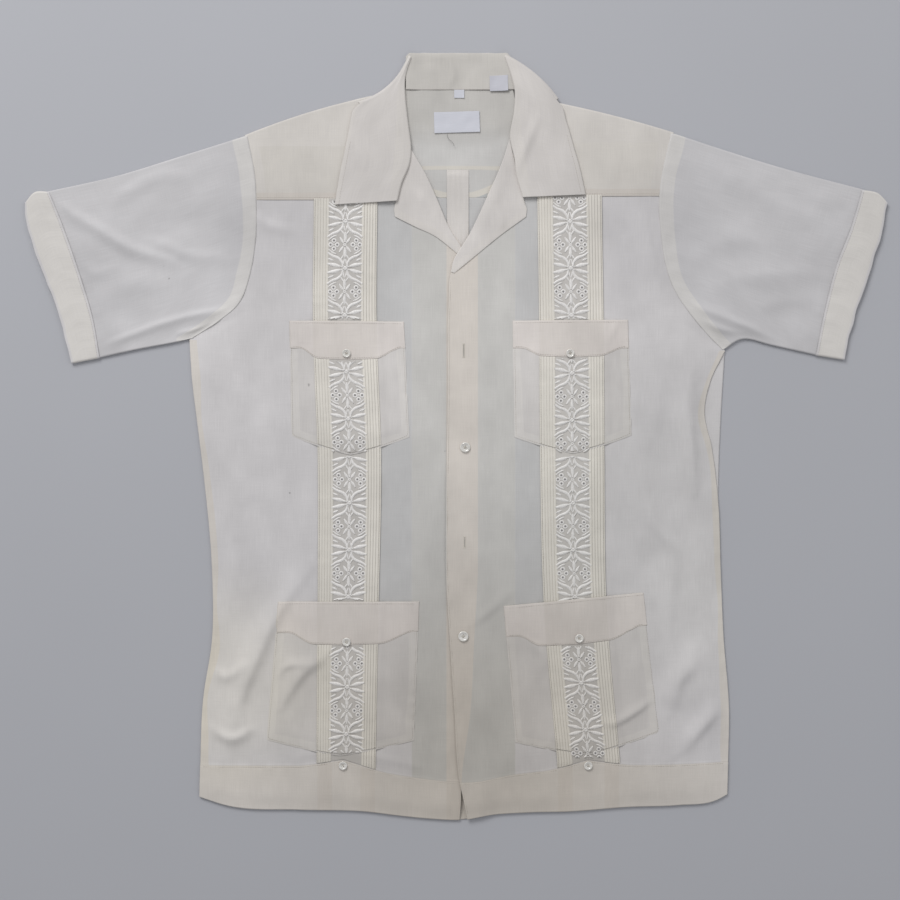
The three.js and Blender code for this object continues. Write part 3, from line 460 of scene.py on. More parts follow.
def yoke_top(x, y):
    """Top of a front yoke, flat at the shoulder and lifted near the collar."""
    flat = smooth((y - 300) / 40)
    return FRONT_TOP + YOKE_LIFT + neck_lift(x, y) + (1 - flat) * unevenness(x, y) * 0.8


def band_edges(side, y):
    """Distances across to the two long edges of a band, the lower one first."""
    a, b = through(BANDS[side]["outer"], y), through(BANDS[side]["inner"], y)
    return np.minimum(a, b), np.maximum(a, b)


def pocket_edge(name, x, y):
    """Distance inside a pocket's sides and bottom."""
    shape = POCKETS[name]
    (x0, y0), (x1, y1) = shape["bottom"]
    (x2, y2), (x3, _) = shape["top"]
    v = (y - y0) / (y2 - y0)
    low, high = x0 + (x2 - x0) * v, x1 + (x3 - x1) * v
    u = np.clip((x - low) / (high - low), 0, 1)
    bottom = y0 + (y1 - y0) * u - shape["dip"] * pocket_point(u)
    return least(x - low, high - x, (y - bottom) * 0.96)


def pocket_point(u):
    """Share of a pocket's dip at share u across it: straight down to a blunt point."""
    return 1 - (np.abs(2 * u - 1) ** 1.8 * 0.35 + np.abs(2 * u - 1) * 0.65)


def over_band(side, x, y, fade):
    """1 above a band, easing to 0 beside it over the distance given by fade."""
    low, high = band_edges(side, y)
    return smooth(1 - (np.maximum(np.maximum(low - x, x - high), 0) - 0.8) / fade)


def pocket_top(name, x, y):
    """Top of a pocket: close to the front at its edges, and swollen where the band runs below it."""
    side = POCKETS[name]["side"]
    loose = smooth(pocket_edge(name, x, y) / 16)
    base = front_top(side, x, y) + 0.34 + 0.8 * loose
    base = base + (1.15 + 0.45 * loose) * over_band(side, x, y, 9.0)
    return base + (creased("pocket", x, y) + 0.6 * rumple(x, y, 30, 21)) * loose


def stand_edge(x):
    """Height up the shirt of the collar's top edge, which falls away outside its two corners."""
    left, right = STAND["corners"]
    return STAND["high"] - STAND["fall"] * (np.maximum(left - x, 0) + np.maximum(x - right, 0))


def stand_top(x, y):
    """Top of the collar's inside behind the neck, which climbs to the leaves at both ends."""
    from_top = stand_edge(x) - y
    z = 3.4 + 0.45 * rumple(x, y, 15, 51) * smooth(from_top / 6) + creased("neck", x, y)
    climb = 2.2 * smooth((np.abs(x - 2) - 38) / 20)
    return z + climb + 0.4 * np.exp(-(((from_top - 5) / 4) ** 2))


def flap_edge(name, x):
    """Height up the shirt of a flap's lower edge: level at both sides, easing down to a lower,
    slightly pointed middle."""
    (x0, y0), (x1, y1) = POCKETS[name]["flap"]
    u = np.clip((x - x0) / (x1 - x0), 0, 1)
    drop = smooth((u - 0.08) / 0.17) * smooth((0.96 - u) / 0.22)
    point = 0.22 * (1 - np.abs(2 * u - 1))
    return y0 + (y1 - y0) * u - POCKETS[name]["flap_dip"] * (0.8 * drop + point)


def pocket_plan(name, u, v):
    """Point of a pocket at share u across and v up, over a bottom edge with a blunt point."""
    shape = POCKETS[name]
    mix = lambda pair, t: np.array(pair[0]) * (1 - t[..., None]) + np.array(pair[1]) * t[..., None]
    low, high = mix(shape["bottom"], u), mix(shape["top"], u)
    low[..., 1] -= shape["dip"] * pocket_point(u)
    point = low * (1 - v[..., None]) + high * v[..., None]
    return point[..., 0], point[..., 1]


# ---- Meshes ----
def put_in(name, data):
    """Puts a new object into the scene."""
    thing = bpy.data.objects.new(name, data)
    bpy.context.collection.objects.link(thing)
    return thing


def new_object(name, vertices, faces, finish, attributes=None, grain=None):
    """Makes an object from vertex and face arrays in millimetres, with a finish from the palette,
    per-vertex numbers and a map of the cloth's grain in metres."""
    material, slot = PALETTE[finish]
    mesh = bpy.data.meshes.new(name)
    vertices = np.asarray(vertices, float).reshape(-1, 3)
    mesh.from_pydata((vertices * MM).tolist(), [], faces.tolist())
    for key, values in (attributes or {}).items():
        layer = mesh.attributes.new(key, "FLOAT", "POINT")
        layer.data.foreach_set("value", np.asarray(values, np.float32).ravel())
    if grain is not None:
        grain = np.asarray(grain, float).reshape(-1, 2)
        corners = np.arange(len(mesh.loops), dtype=np.int32)
        if len(grain) != len(mesh.loops):
            mesh.loops.foreach_get("vertex_index", corners)
        layer = mesh.uv_layers.new(name="grain")
        layer.data.foreach_set("uv", (grain[corners] * MM).ravel())
    mesh.polygons.foreach_set("use_smooth", np.ones(len(mesh.polygons), bool))
    mesh.validate()
    mesh.update()
    mesh.materials.append(material)
    piece = put_in(name, mesh)
    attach(piece, "root")
    return piece


def grid_faces(rows, columns, wrap=False):
    """Quads of a grid stored row by row, facing up when rows run along +Y and columns along +X."""
    across = np.arange(columns if wrap else columns - 1)
    i, j = np.meshgrid(np.arange(rows - 1), across, indexing="ij")
    right = (j + 1) % columns
    return np.stack(
        [i * columns + j, i * columns + right, (i + 1) * columns + right, (i + 1) * columns + j], -1
    ).reshape(-1, 4)


LAYER_NAMES = ("single", "facing", "doubled", "tripled")
FAR_OUT = -50.0


def cloth_piece(name, grid, finish, layers=None, seam=None, grain=None, wall=CLOTH_WALL, wrap=False,
                flip=False):
    """A sheet of cloth from a grid of points on its upper face, given a wall below it. layers says
    how far each point lies inside cloth that is single, doubled or tripled, and seam how far it
    lies from a seam, near which the cloth's colour is darkened as painted shade."""
    grid = np.asarray(grid, float)
    rows, columns = grid.shape[:2]
    attributes = {key: np.full((rows, columns), FAR_OUT) for key in LAYER_NAMES}
    attributes["seam"] = np.full((rows, columns), -FAR_OUT)
    attributes.update(layers or {})
    if seam is not None:
        attributes["seam"] = seam
    faces = grid_faces(rows, columns, wrap)
    grain = grid[..., :2] if grain is None else np.asarray(grain, float).reshape(-1, 2)
    if flip:
        faces = faces[:, ::-1]
        if len(grain) == faces.size:
            grain = grain.reshape(-1, 4, 2)[:, ::-1]
    piece = new_object(name, grid, faces, finish, attributes, grain)
    solid = piece.modifiers.new("wall", "SOLIDIFY")
    solid.thickness = wall * MM
    solid.offset = -1.0
    return piece


STITCH = {"share": 0.73, "wide": 0.42, "high": 0.3}  # its length is a share of the spacing


def stitches(name, paths):
    """Rows of sewing: along each path of points, one long bead a stitch, pointed at both ends."""
    points, steps = [], []
    pitch = settings().stitch_length / MM
    length = STITCH["share"] * pitch
    for path in paths:
        path = np.asarray(path, float)
        lengths = measured(path)
        at = np.arange(pitch / 2, lengths[-1] - pitch / 2, pitch)
        read = lambda s: np.stack([np.interp(s, lengths, path[:, k]) for k in range(3)], -1)
        points.append(read(at))
        steps.append(read(at + length / 2) - read(at - length / 2))
    centre, run = np.concatenate(points), np.concatenate(steps)
    size = np.linalg.norm(run[:, :2], axis=1, keepdims=True)
    along = np.concatenate([run[:, :2] / size, run[:, 2:] / size], 1) * (length / 2)
    across = np.stack([-run[:, 1], run[:, 0], 0 * run[:, 0]], 1) / size
    across = across * STITCH["wide"] / 2
    up = np.array([0, 0, STITCH["high"]])
    corners = [-along, -0.4 * along + across, -0.4 * along + up, -0.4 * along - across,
               0.4 * along + across, 0.4 * along + up, 0.4 * along - across, along]
    vertices = np.stack([centre + c for c in corners], 1)
    faces = np.array([(0, 2, 1), (0, 3, 2), (1, 2, 5), (1, 5, 4), (2, 3, 6), (2, 6, 5), (4, 5, 7),
                      (5, 6, 7), (0, 1, 3), (1, 4, 3), (3, 4, 6), (4, 7, 6)])
    faces = (faces[None] + 8 * np.arange(len(centre))[:, None, None]).reshape(-1, 3)
    new_object(name, vertices, faces, "thread")


# ---- Materials ----
def linear(colour):
    """Turns an sRGB hex value such as 0xC8C4BE into linear red, green, blue and alpha."""
    parts = [(colour >> shift & 255) / 255 for shift in (16, 8, 0)]
    return (*[c / 12.92 if c <= 0.04045 else ((c + 0.055) / 1.055) ** 2.4 for c in parts], 1.0)


def add(tree, kind, inputs=None, **properties):
    """Adds a shader node, sets its properties, and sets or links its inputs."""
    node = tree.nodes.new(kind)
    for key, value in properties.items():
        setattr(node, key, value)
    for key, value in (inputs or {}).items():
        socket = node.inputs[key]
        if isinstance(value, bpy.types.NodeSocket):
            tree.links.new(value, socket)
        else:
            socket.default_value = value
    return node


MIX_FACTOR, MIX_A, MIX_B, MIX_RESULT = 0, 6, 7, 2
LAYER_EDGE = 0.7  # half the blur, in mm, at the edge of a layer seen through the cloth


def mixed(tree, share, first, second, blend="MIX"):
    """Blends a share of the second colour into the first."""
    return add(tree, "ShaderNodeMix", {MIX_FACTOR: share, MIX_A: first, MIX_B: second},
               data_type="RGBA", blend_type=blend).outputs[MIX_RESULT]


def darken(tree, colour, factor):
    """Multiplies a colour by a brightness."""
    return mixed(tree, 1.0, colour, factor, "MULTIPLY")


def ranged(tree, value, low, high, to_low=0.0, to_high=1.0, easing="LINEAR"):
    """Turns a value from low to high into one from to_low to to_high, held flat outside."""
    return add(tree, "ShaderNodeMapRange", {
        "Value": value, "From Min": low, "From Max": high, "To Min": to_low, "To Max": to_high,
    }, interpolation_type=easing).outputs[0]


def ranged_noise(tree, vector, scale, low, high, detail=2.0):
    """Noise on a stretched copy of the coordinates: as a brightness from low to high, and raw."""
    stretched = add(tree, "ShaderNodeMapping", {"Vector": vector, "Scale": scale}).outputs[0]
    noise = add(tree, "ShaderNodeTexNoise", {
        "Vector": stretched, "Scale": 1.0, "Detail": detail, "Roughness": 0.55,
    }).outputs["Fac"]
    return ranged(tree, noise, 0.3, 0.7, low, high), noise


def object_place(tree):
    """Place in the object's own coordinates, in metres."""
    return add(tree, "ShaderNodeTexCoord").outputs["Object"]


def cloth_grain(tree):
    """Place on the map of the cloth's grain, in metres."""
    return add(tree, "ShaderNodeUVMap", uv_map="grain").outputs[0]


def vertex_number(tree, key):
    """A number kept at each vertex."""
    return add(tree, "ShaderNodeAttribute", attribute_name=key).outputs["Fac"]


def new_material(name):
    """An empty material and its tree."""
    material = bpy.data.materials.new(name)
    material.use_nodes = True
    return material, material.node_tree


def finished(material, colour, sockets, height=None, strength=0.3, depth=0.0002):
    """Gives a material's shader its colour, its other inputs and a bump from a height."""
    tree = material.node_tree
    shader = tree.nodes["Principled BSDF"]
    tree.links.new(colour, shader.inputs["Base Color"])
    for key, value in sockets.items():
        shader.inputs[key].default_value = value
    if height is not None:
        bump = add(tree, "ShaderNodeBump",
                   {"Height": height, "Strength": strength, "Distance": depth})
        tree.links.new(bump.outputs[0], shader.inputs["Normal"])
    return material


def layered_colour(tree, colours):
    """Colour of the cloth where it is single, doubled or tripled, blurred at the layers' edges."""
    ivory = np.array(settings().cloth_colour) / linear(IVORY)
    shade = lambda key: tuple((np.array(linear(colours[key])) * ivory).tolist())
    colour = shade("sheer")
    for key in LAYER_NAMES:
        inside = ranged(tree, vertex_number(tree, key), -LAYER_EDGE, LAYER_EDGE, easing="SMOOTHSTEP")
        colour = mixed(tree, inside, colour, shade(key))
    return colour


# Painted shade on everything sewn on, cloth and floss alike: a soft shadow over the middle of the
# hem, and shade over the wearer's left front. Place and reach in metres, and what is left of its
# colour.
PAINTED_SHADE_PATCHES = [
    ((0.025, -0.36), 0.29, (0.83, 0.81, 0.775)),
    ((0.215, -0.09), 0.25, (0.93, 0.935, 0.925)),
]
# Painted light and shade on the cloth alone: patches brighter, duller or warmer than the rest.
PAINTED_LIGHT_AND_SHADE = [
    ((0.026, 0.09), 0.25, (1.12, 1.12, 1.12)),
    ((-0.198, 0.225), 0.08, (0.9, 0.9, 0.905)),
    ((0.194, 0.228), 0.1, (0.9, 0.9, 0.905)),
    ((-0.258, -0.27), 0.15, (1.07, 1.055, 0.99)),
    ((0.29, -0.2), 0.13, (1.06, 1.06, 1.05)),
    ((-0.3, 0.13), 0.1, (1.08, 1.08, 1.08)),
]


def patchy(tree, colour, patches):
    """A colour multiplied inside each round patch by its own tint, which eases out to its reach."""
    point = object_place(tree)
    for place, reach, tint in patches:
        away = add(tree, "ShaderNodeVectorMath", {0: point, 1: (*place, 0.0)}, operation="DISTANCE")
        share = ranged(tree, away.outputs["Value"], 0.03, reach, easing="SMOOTHSTEP")
        colour = darken(tree, colour, mixed(tree, share, (*tint, 1.0), (1.0, 1.0, 1.0, 1.0)))
    return colour


# Small dark specks on the cloth: place and radius, in metres.
SPECKS = [((-0.320, 0.1875, 0.0045), 0.0011), ((-0.3145, 0.173, 0.0045), 0.0009),
          ((-0.1617, 0.0567, 0.006), 0.0013), ((-0.012, -0.016, 0.0055), 0.0012),
          ((-0.1826, -0.0621, 0.004), 0.0010)]


def speck(tree, place, radius):
    """Brightness that drops at a small speck, whose outline a little noise makes uneven."""
    point = object_place(tree)
    away = add(tree, "ShaderNodeVectorMath", {0: point, 1: place}, operation="DISTANCE")
    _, rough = ranged_noise(tree, point, (900.0, 500.0, 900.0), 0.0, 1.0)
    uneven = add(tree, "ShaderNodeMath", {0: away.outputs["Value"], 1: rough}, operation="MULTIPLY")
    return ranged(tree, uneven.outputs[0], radius * 0.35, radius * 0.7, 0.62, 1.0)


# Unevenness in the cloth: its stretch across and along the grain, its brightness from low to high
# and its detail. Slubs are thick places in the yarn, about 0.8 mm across and 25 mm long. The broad
# clouds and patches are random tone and also painted soft shade of the cloth's waves.
SLUB_ALONG = ((1250.0, 40.0, 1.0), 0.965, 1.03)
SLUB_ACROSS = ((40.0, 1250.0, 1.0), 0.98, 1.02)
WEAVE = ((1700.0, 1500.0, 1.0), 0.975, 1.02, 1.0)  # of 0.25 mm, drawn at 0.6 mm so that it shows
TONE_AND_SHADE_CLOUDS = ((11.0, 8.0, 1.0), 0.945, 1.04)
TONE_AND_SHADE_PATCHES = ((29.0, 21.0, 1.0), 0.95, 1.045)
FLOSS_RIB = 0.0011  # distance between the ribs of the floss, in metres


def batiste(name, colours):
    """Polyester and cotton batiste, plain woven: matt and a little translucent, with slubs."""
    material, tree = new_material(name)
    grain = cloth_grain(tree)
    colour = layered_colour(tree, colours)
    heights = []
    for noise in (SLUB_ALONG, SLUB_ACROSS, WEAVE, TONE_AND_SHADE_CLOUDS, TONE_AND_SHADE_PATCHES):
        brightness, raw = ranged_noise(tree, grain, *noise)
        colour = darken(tree, colour, brightness)
        heights.append(raw)
    # Painted shade: the colour darkens within about a millimetre of a seam, an edge or a tuck's
    # valley.
    seam_shade = ranged(tree, vertex_number(tree, "seam"), 0.0, 1.1, 0.86, 1.0, "SMOOTHSTEP")
    # Round patches of painted shadow, shade and light over the whole cloth.
    colour = patchy(tree, darken(tree, colour, seam_shade), PAINTED_SHADE_PATCHES + PAINTED_LIGHT_AND_SHADE)
    for place, radius in SPECKS:
        colour = darken(tree, colour, speck(tree, place, radius))
    height = heights[0]
    for raw in heights[1:3]:
        height = add(tree, "ShaderNodeMath", {0: height, 1: raw}, operation="ADD").outputs[0]
    return finished(material, colour, {
        "Roughness": 0.85, "Sheen Weight": 0.2, "Sheen Roughness": 0.5, "Specular IOR Level": 0.25,
    }, height, 0.35, 0.00022)


def rayon(name, colour):
    """Rayon embroidery floss laid side by side: bright, with a soft shine and fine ribs. Its colour
    darkens between the ribs as painted shade, and random flecks vary it, partly as painted glints.
    """
    material, tree = new_material(name)
    grain = cloth_grain(tree)
    ribs = add(tree, "ShaderNodeTexWave", {
        "Vector": grain, "Scale": 1 / FLOSS_RIB / 20 * 2 * math.pi, "Distortion": 1.5, "Detail": 1.0,
    }, bands_direction="X").outputs["Fac"]
    fleck_and_glint, _ = ranged_noise(tree, grain, (420.0, 900.0, 1.0), 0.85, 1.08)
    # Painted shade between the ribs; the flecks are random tone and partly painted glints.
    colour = darken(tree, darken(tree, colour, ranged(tree, ribs, 0.0, 1.0, 0.93, 1.03)), fleck_and_glint)
    # The floss takes the same painted shadow and shade.
    return finished(material, patchy(tree, colour, PAINTED_SHADE_PATCHES), {"Roughness": 0.42, "Sheen Weight": 0.3},
                    ribs, 0.4)


def clouded(name, colour, scale, low, high, sockets, detail=2.0):
    """A smooth finish whose brightness drifts from low to high through the object."""
    material, tree = new_material(name)
    shade, _ = ranged_noise(tree, object_place(tree), scale, low, high, detail)
    return finished(material, darken(tree, colour, shade), sockets)


def sewing_thread(name, colour):
    """Spun polyester sewing thread: matt, a little warmer than the cloth."""
    return clouded(name, colour, (900.0, 900.0, 900.0), 0.92, 1.04, {"Roughness": 0.7})


def pearl(name, colour):
    """Pearly polyester resin, turned and polished: milky clouds under a clear gloss."""
    return clouded(name, colour, (330.0, 520.0, 330.0), 0.84, 1.1, {
        "Roughness": 0.18, "IOR": 1.56, "Coat Weight": 0.6, "Coat Roughness": 0.08,
        "Subsurface Weight": 0.15, "Subsurface Radius": (0.002, 0.002, 0.0018),
    }, 3.0)


def satin_ribbon(name, colour):
    """Woven satin label ribbon, left blank: fine ribs across it and a soft shine."""
    material, tree = new_material(name)
    rib, raw = ranged_noise(tree, cloth_grain(tree), (60.0, 2200.0, 1.0), 0.95, 1.03)
    return finished(material, darken(tree, colour, rib), {"Roughness": 0.5}, raw)


def floor_paint(name, colour):
    """Matt studio floor paint, faintly uneven."""
    return clouded(name, colour, (3.0, 3.0, 3.0), 0.99, 1.01, {"Roughness": 0.9})


IVORY, FLOSS, THREAD_IVORY, RESIN = 0xD8D5D5, 0xF6F3F0, 0xCFC9BE, 0xE6E3DD
RIBBON, CARE_TAPE, EYELET_SHADE, FLOOR_GREY = 0xD3D4DC, 0xC6C6CE, 0x8C8988, 0xB9BABF
# Colours of the cloth by its layers, and what differs from them on each piece, with its slot.
CLOTH_COLOURS = {"sheer": IVORY, "single": 0xC8C7C6, "facing": 0xCCCAC6, "doubled": 0xDAD4CD,
                 "tripled": 0xD7D0C8}
BATISTES = {
    "cloth": ("Batiste, sheer ivory", "sheer_cloth", {}),
    "sleeve": ("Batiste, sleeve", "sheer_cloth", {"sheer": 0xD0CECF, "facing": 0xDBD8D5}),
    "pocket": ("Batiste, pocket over front", "sheer_cloth", {"sheer": 0xD4D0CD, "facing": 0xD9D5D1}),
    "inside": ("Batiste, inside of the yoke", "sheer_cloth", {
        "sheer": 0xC9C6C1, "facing": 0xCDCBC8, "single": 0xBEBFBE, "doubled": 0xD3D1CE,
        "tripled": 0xDAD5CC}),
    "yoke": ("Batiste, yoke", "doubled_cloth", {
        "sheer": 0xD6D1CA, "facing": 0xDBD6CF, "doubled": 0xDAD5CF}),
    "collar": ("Batiste, stiffened collar", "doubled_cloth", {
        "doubled": 0xDAD5D0, "tripled": 0xD9D4D0}),
    "stand": ("Batiste, inside of the collar", "doubled_cloth", {
        "sheer": 0xCDC8C2, "tripled": 0xCECAC4}),
    "band": ("Batiste, tucked band", "doubled_cloth", {
        "sheer": 0xCBC7C2, "doubled": 0xCBC7BE, "tripled": 0xE6E1D8}),
    "flap": ("Batiste, flap", "doubled_cloth", {"doubled": 0xDFD8D3, "tripled": 0xDBD4CE}),
    "doubled": ("Batiste, two layers", "doubled_cloth", {"doubled": 0xDAD5D0, "tripled": 0xD9D4D0}),
    "cuff": ("Batiste, turned cuff", "doubled_cloth", {"doubled": 0xDAD5D0, "tripled": 0xDFDBD6}),
}
PALETTE = {}  # each finish's material, and the name of the slot kept with it


def make_palette():
    """Makes each material once."""
    shirt = settings()
    for key, (name, slot, colours) in BATISTES.items():
        PALETTE[key] = batiste(name, {**CLOTH_COLOURS, **colours}), slot
    for key, slot, material in (
        ("floss", "embroidery_thread", rayon("Rayon floss, white", tuple(shirt.floss_colour))),
        ("thread", "embroidery_thread",
         sewing_thread("Spun polyester thread, ivory", tuple(shirt.thread_colour))),
        # A dark finish: painted shade in the eyelets and buttonhole slits, and also the loose thread
        # at the label.
        ("eyelet", "embroidery_thread", sewing_thread("Eyelet, in shade", linear(EYELET_SHADE))),
        ("pearl", "pearl_button", pearl("Pearly resin", tuple(shirt.button_colour))),
        ("ribbon", "woven_label", satin_ribbon("Satin ribbon, blank", tuple(shirt.ribbon_colour))),
        ("tape", "woven_label", satin_ribbon("Care tape, blank", linear(CARE_TAPE))),
        ("floor", None, floor_paint("Studio floor, pale grey", tuple(shirt.floor_colour))),
    ):
        PALETTE[key] = material, slot


# ---- Pieces ----
def panel_grid(xs_at, top_at, across, up):
    """Plan of a body panel: rows run up from the hem's edge through its stitched edge to the top.
    xs_at gives the two sides at a height, and a point's height follows from its distance across."""
    levels = np.unique(np.concatenate([spaced(38, up, 0.8) - 1, spaced(630, up, 0.8)]))
    level, u = np.meshgrid(levels, spaced(300, across, 0.8), indexing="ij")
    y = np.where(level < 0, -378 + 38 * level, -370 + 632 * level)
    for _ in range(4):
        low, high = xs_at(y)
        x = low + (high - low) * u
        in_hem = through(HEM_EDGE, x) * -level + hem_top(x) * (1 + level)
        in_body = hem_top(x) * (1 - level) + top_at(x) * level
        y = np.where(level < 0, in_hem, in_body)
    return x, y, u


def make_back():
    """The back lies flat on the floor: one sheet up to the yoke seam, with its hem doubled."""
    sides = lambda y: (side_edge("right", y, BACK_SIDE) + 0.4, side_edge("left", y, BACK_SIDE) - 0.4)
    x, y, v = panel_grid(sides, yoke_seam, 6.0, 6.0)
    hem = hem_top(x) - y
    y = y + BACK_HEM_RISE * np.exp(-(((x - 8) / 46) ** 2)) * smooth(1 - v / 0.2)
    low, high = sides(y)
    inside = smooth((np.minimum(strip(x, low, high), y + 395) - 14) / 40)
    z = CLOTH_WALL + inside * np.maximum(creased("back", x, y) + 0.2 * rumple(x, y, 40, 11), 0)
    layers = {"single": np.where(y < UNDERARM["left"], FAR_OUT, 5.0), "doubled": hem}
    piece = cloth_piece("back_panel", np.stack([x, y, z], -1), "cloth", layers, np.abs(hem))
    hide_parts("back")


def make_front(side):
    """One front: side seam and armhole to the button stand, hem to yoke seam."""
    def sides(y):
        outer, inner = side_edge(side, y), through(FRONT_EDGE[side], y)
        return np.minimum(outer, inner), np.maximum(outer, inner)

    x, y, _ = panel_grid(sides, lambda x: YOKE_SEAM[side] + 0 * x, 3.0, 3.2)
    hem = hem_top(x) - y
    from_side = np.abs(x - side_edge(side, y))
    edge = np.abs(x - through(FRONT_EDGE[side], y))
    near = least(np.abs(hem), edge, from_side)
    z = front_top(side, x, y) + HEM_STEP * smooth(0.5 + hem / 0.9)
    z = z + 0.30 * rumple(x, y, 6.5, 31) * np.exp(-((near / 9) ** 2))
    low, high = band_edges(side, y)
    tucks = np.maximum(strip(x, low + 1, low + 17), strip(x, high - 17, high - 1))
    allowance = np.where(y < UNDERARM[side], 7 + 3 * rumple(x, y, 50, 35) - from_side, FAR_OUT)
    under_edge = np.minimum(through(FRONT_EDGE["right"], np.minimum(y, 108)), 24)
    tripled = strip(x, -10.5, np.where(y > 108, 24, under_edge))
    middle = np.maximum(strip(x, high, FACINGS[0]), strip(x, FACINGS[1], low))
    layers = {"single": np.minimum(middle, (y + 300) / 8), "facing": strip(x, *FACINGS),
              "doubled": np.maximum(hem, allowance),
              "tripled": np.maximum(tripled, np.minimum(tucks, hem - 1))}
    piece = cloth_piece(f"front_{side}_panel", np.stack([x, y, z], -1), "cloth", layers,
                        np.minimum(np.abs(hem), edge + 0.6))
    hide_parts(f"front_{side}")


def make_back_tucks():
    """Tucked strip sewn down the middle of the back: four pleats that all lean one way."""
    lines = [-10 + 24 * t for t in spaced(24, 1.0, 0.5)]
    x, y = np.meshgrid(lines, np.linspace(-371, 293, 90))
    lean = np.mod(x + 10, 6.0) / 6.0
    z = 1.75 + 0.45 * (1 - lean) * smooth(lean * 6)
    layers = {"doubled": 3.0 + 0 * x, "tripled": strip(lean, 0.0, 0.35)}
    piece = cloth_piece("back_tuck_strip", np.stack([x, y, z], -1), "doubled", layers, wall=0.5)
    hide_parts("back_tucks")


def shoulder_line(side, u):
    """Shoulder fold from arm (u = 0) to neck (u = 1): a straight line with a slight bulge."""
    arm, neck = (np.array(SHOULDER[side][end], float) for end in ("arm", "neck"))
    u = np.asarray(u, float)[..., None]
    line = arm * (1 - u) + neck * u
    line[..., 1] += SHOULDER[side]["bulge"] * (4 * u * (1 - u))[..., 0]
    return line


def make_back_yoke():
    """Back yoke: lies on the floor, and the collar under it lifts it at the neck. Its top edge runs
    below the shoulder folds and along the neck seam."""
    def shoulder(x):
        heights = []
        for side in SIDES:
            arm, neck = SHOULDER[side]["arm"][0], SHOULDER[side]["neck"][0]
            heights.append(shoulder_line(side, np.clip((x - arm) / (neck - arm), 0, 1))[..., 1])
        return np.where(x < 0, *heights) - 9.0

    u, v = np.meshgrid(spaced(458, 3.0), spaced(120, 3.0))
    x = -230 + 466 * u
    at_neck = smooth((62 - np.abs(x - 3)) / 3)
    seam = yoke_seam(x)
    y = seam + (shoulder(x) * (1 - at_neck) + (NECK_SEAM + 1.5) * at_neck - seam) * v
    x = np.clip(x, through(ARMHOLE["right"], y) + 0.5, through(ARMHOLE["left"], y) - 0.5)
    z = 0.9 + neck_lift(x, y) + creased("neck", x, y) + 0.25 * rumple(x, y, 28, 61)
    z = z + 1.7 * smooth(1 - (62 - np.abs(x - 3)) / 15) * smooth((y - 300) / 30)
    z = np.maximum(z, CLOTH_WALL)
    seam_strip = strip(y, 293.5 - 0.00045 * x * x, 297.5 - 0.0002 * x * x)
    low_edge = 262.5 + 0.0072 * (x - 2) ** 2
    layers = {
        "facing": strip(y, low_edge, 293),
        "single": low_edge - y,
        "doubled": np.minimum((331 - y) / 24, y - 296.5),
        "tripled": np.maximum(seam_strip, 3.6 - np.abs(y - low_edge - 1)),
    }
    piece = cloth_piece("back_yoke_panel", np.stack([x, y, z], -1), "inside", layers,
                        np.minimum(np.abs(NECK_SEAM - y), np.abs(y - 297.5) + 0.3))
    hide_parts("back_yoke")


TURN_RADIUS = 2.2  # outer radius of the folds at the shoulders


def make_yoke(side):
    """Front yoke: runs up from its seam, turns over the shoulder in a half circle, and runs 8 mm
    down the back. Rows near the seam are straight, and rows near the shoulder follow its fold."""
    arm, neck = (np.array(SHOULDER[side][end], float) for end in ("arm", "neck"))
    along = (neck - arm) / np.linalg.norm(neck - arm)
    out = np.array([-along[1], along[0]]) * (1 if side == "right" else -1)
    seam_y = YOKE_SEAM[side] - 1.0
    u, t = np.meshgrid(spaced(175, 3.0), spaced(90, 3.0))
    y_arm, y_neck = seam_y + (arm[1] - seam_y) * t, seam_y + (neck[1] - seam_y) * t
    x_arm, x_neck = through(ARMHOLE[side], y_arm), through(YOKE_NECK[side], y_neck)
    straight = y_arm + (y_neck - y_arm) * u
    bend = smooth((t - 0.45) / 0.55) * t
    inset = TURN_RADIUS * smooth(t)
    x = x_arm + (x_neck - x_arm) * u - out[0] * inset
    y = straight * (1 - bend) + shoulder_line(side, u)[..., 1] * bend - out[1] * inset
    front = np.stack([x, y, yoke_top(x, y)], -1)
    last, radius = front[-1], front[-1, :, 2] / 2
    turn = np.linspace(0, np.pi, 9)[1:, None]
    off = lambda reach, z: np.stack(
        [last[:, 0] + out[0] * reach, last[:, 1] + out[1] * reach, z], -1)
    fold = off(TURN_RADIUS * np.sin(turn), radius * (1 + np.cos(turn)))
    back = np.array([3.0, 6.0, 8.0])[:, None]
    behind = off(-back, neck_lift(last[:, 0], last[:, 1]) * smooth(back / 8))
    grid = np.concatenate([front, fold, behind])
    x, y = grid[..., 0], grid[..., 1]
    flat = np.arange(len(grid))[:, None] < len(front)
    from_arm = np.abs(x - through(ARMHOLE[side], y))
    layers = {
        "doubled": np.where(flat, np.maximum(13 - from_arm, y - YOKE_SEAM[side] - 58), 5.0),
        "facing": np.where(flat, 1.3 * rumple(x + 0.6 * y, y - 0.3 * x, 62, 55), FAR_OUT),
        "tripled": np.where(flat, 7 - (y - YOKE_SEAM[side]), FAR_OUT),
    }
    seam = np.where(flat, y - seam_y, 5.0)
    piece = cloth_piece(f"yoke_{side}_panel", grid, "yoke", layers, seam, flip=side == "left")
    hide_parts(f"yoke_{side}")


def coons(start, end, first, second, s, w):
    """Plan of a patch between four edges, each a list of points: the mean of the two ruled surfaces
    less their corners."""
    a, c, t, b = even(start, s), even(end, s), even(first, w), even(second, w)
    s, w = s[..., None], w[..., None]
    straight = lambda edge: edge[0] * (1 - s) + edge[-1] * s
    return a * (1 - w) + c * w + t * (1 - s) + b * s - straight(start) * (1 - w) - straight(end) * w


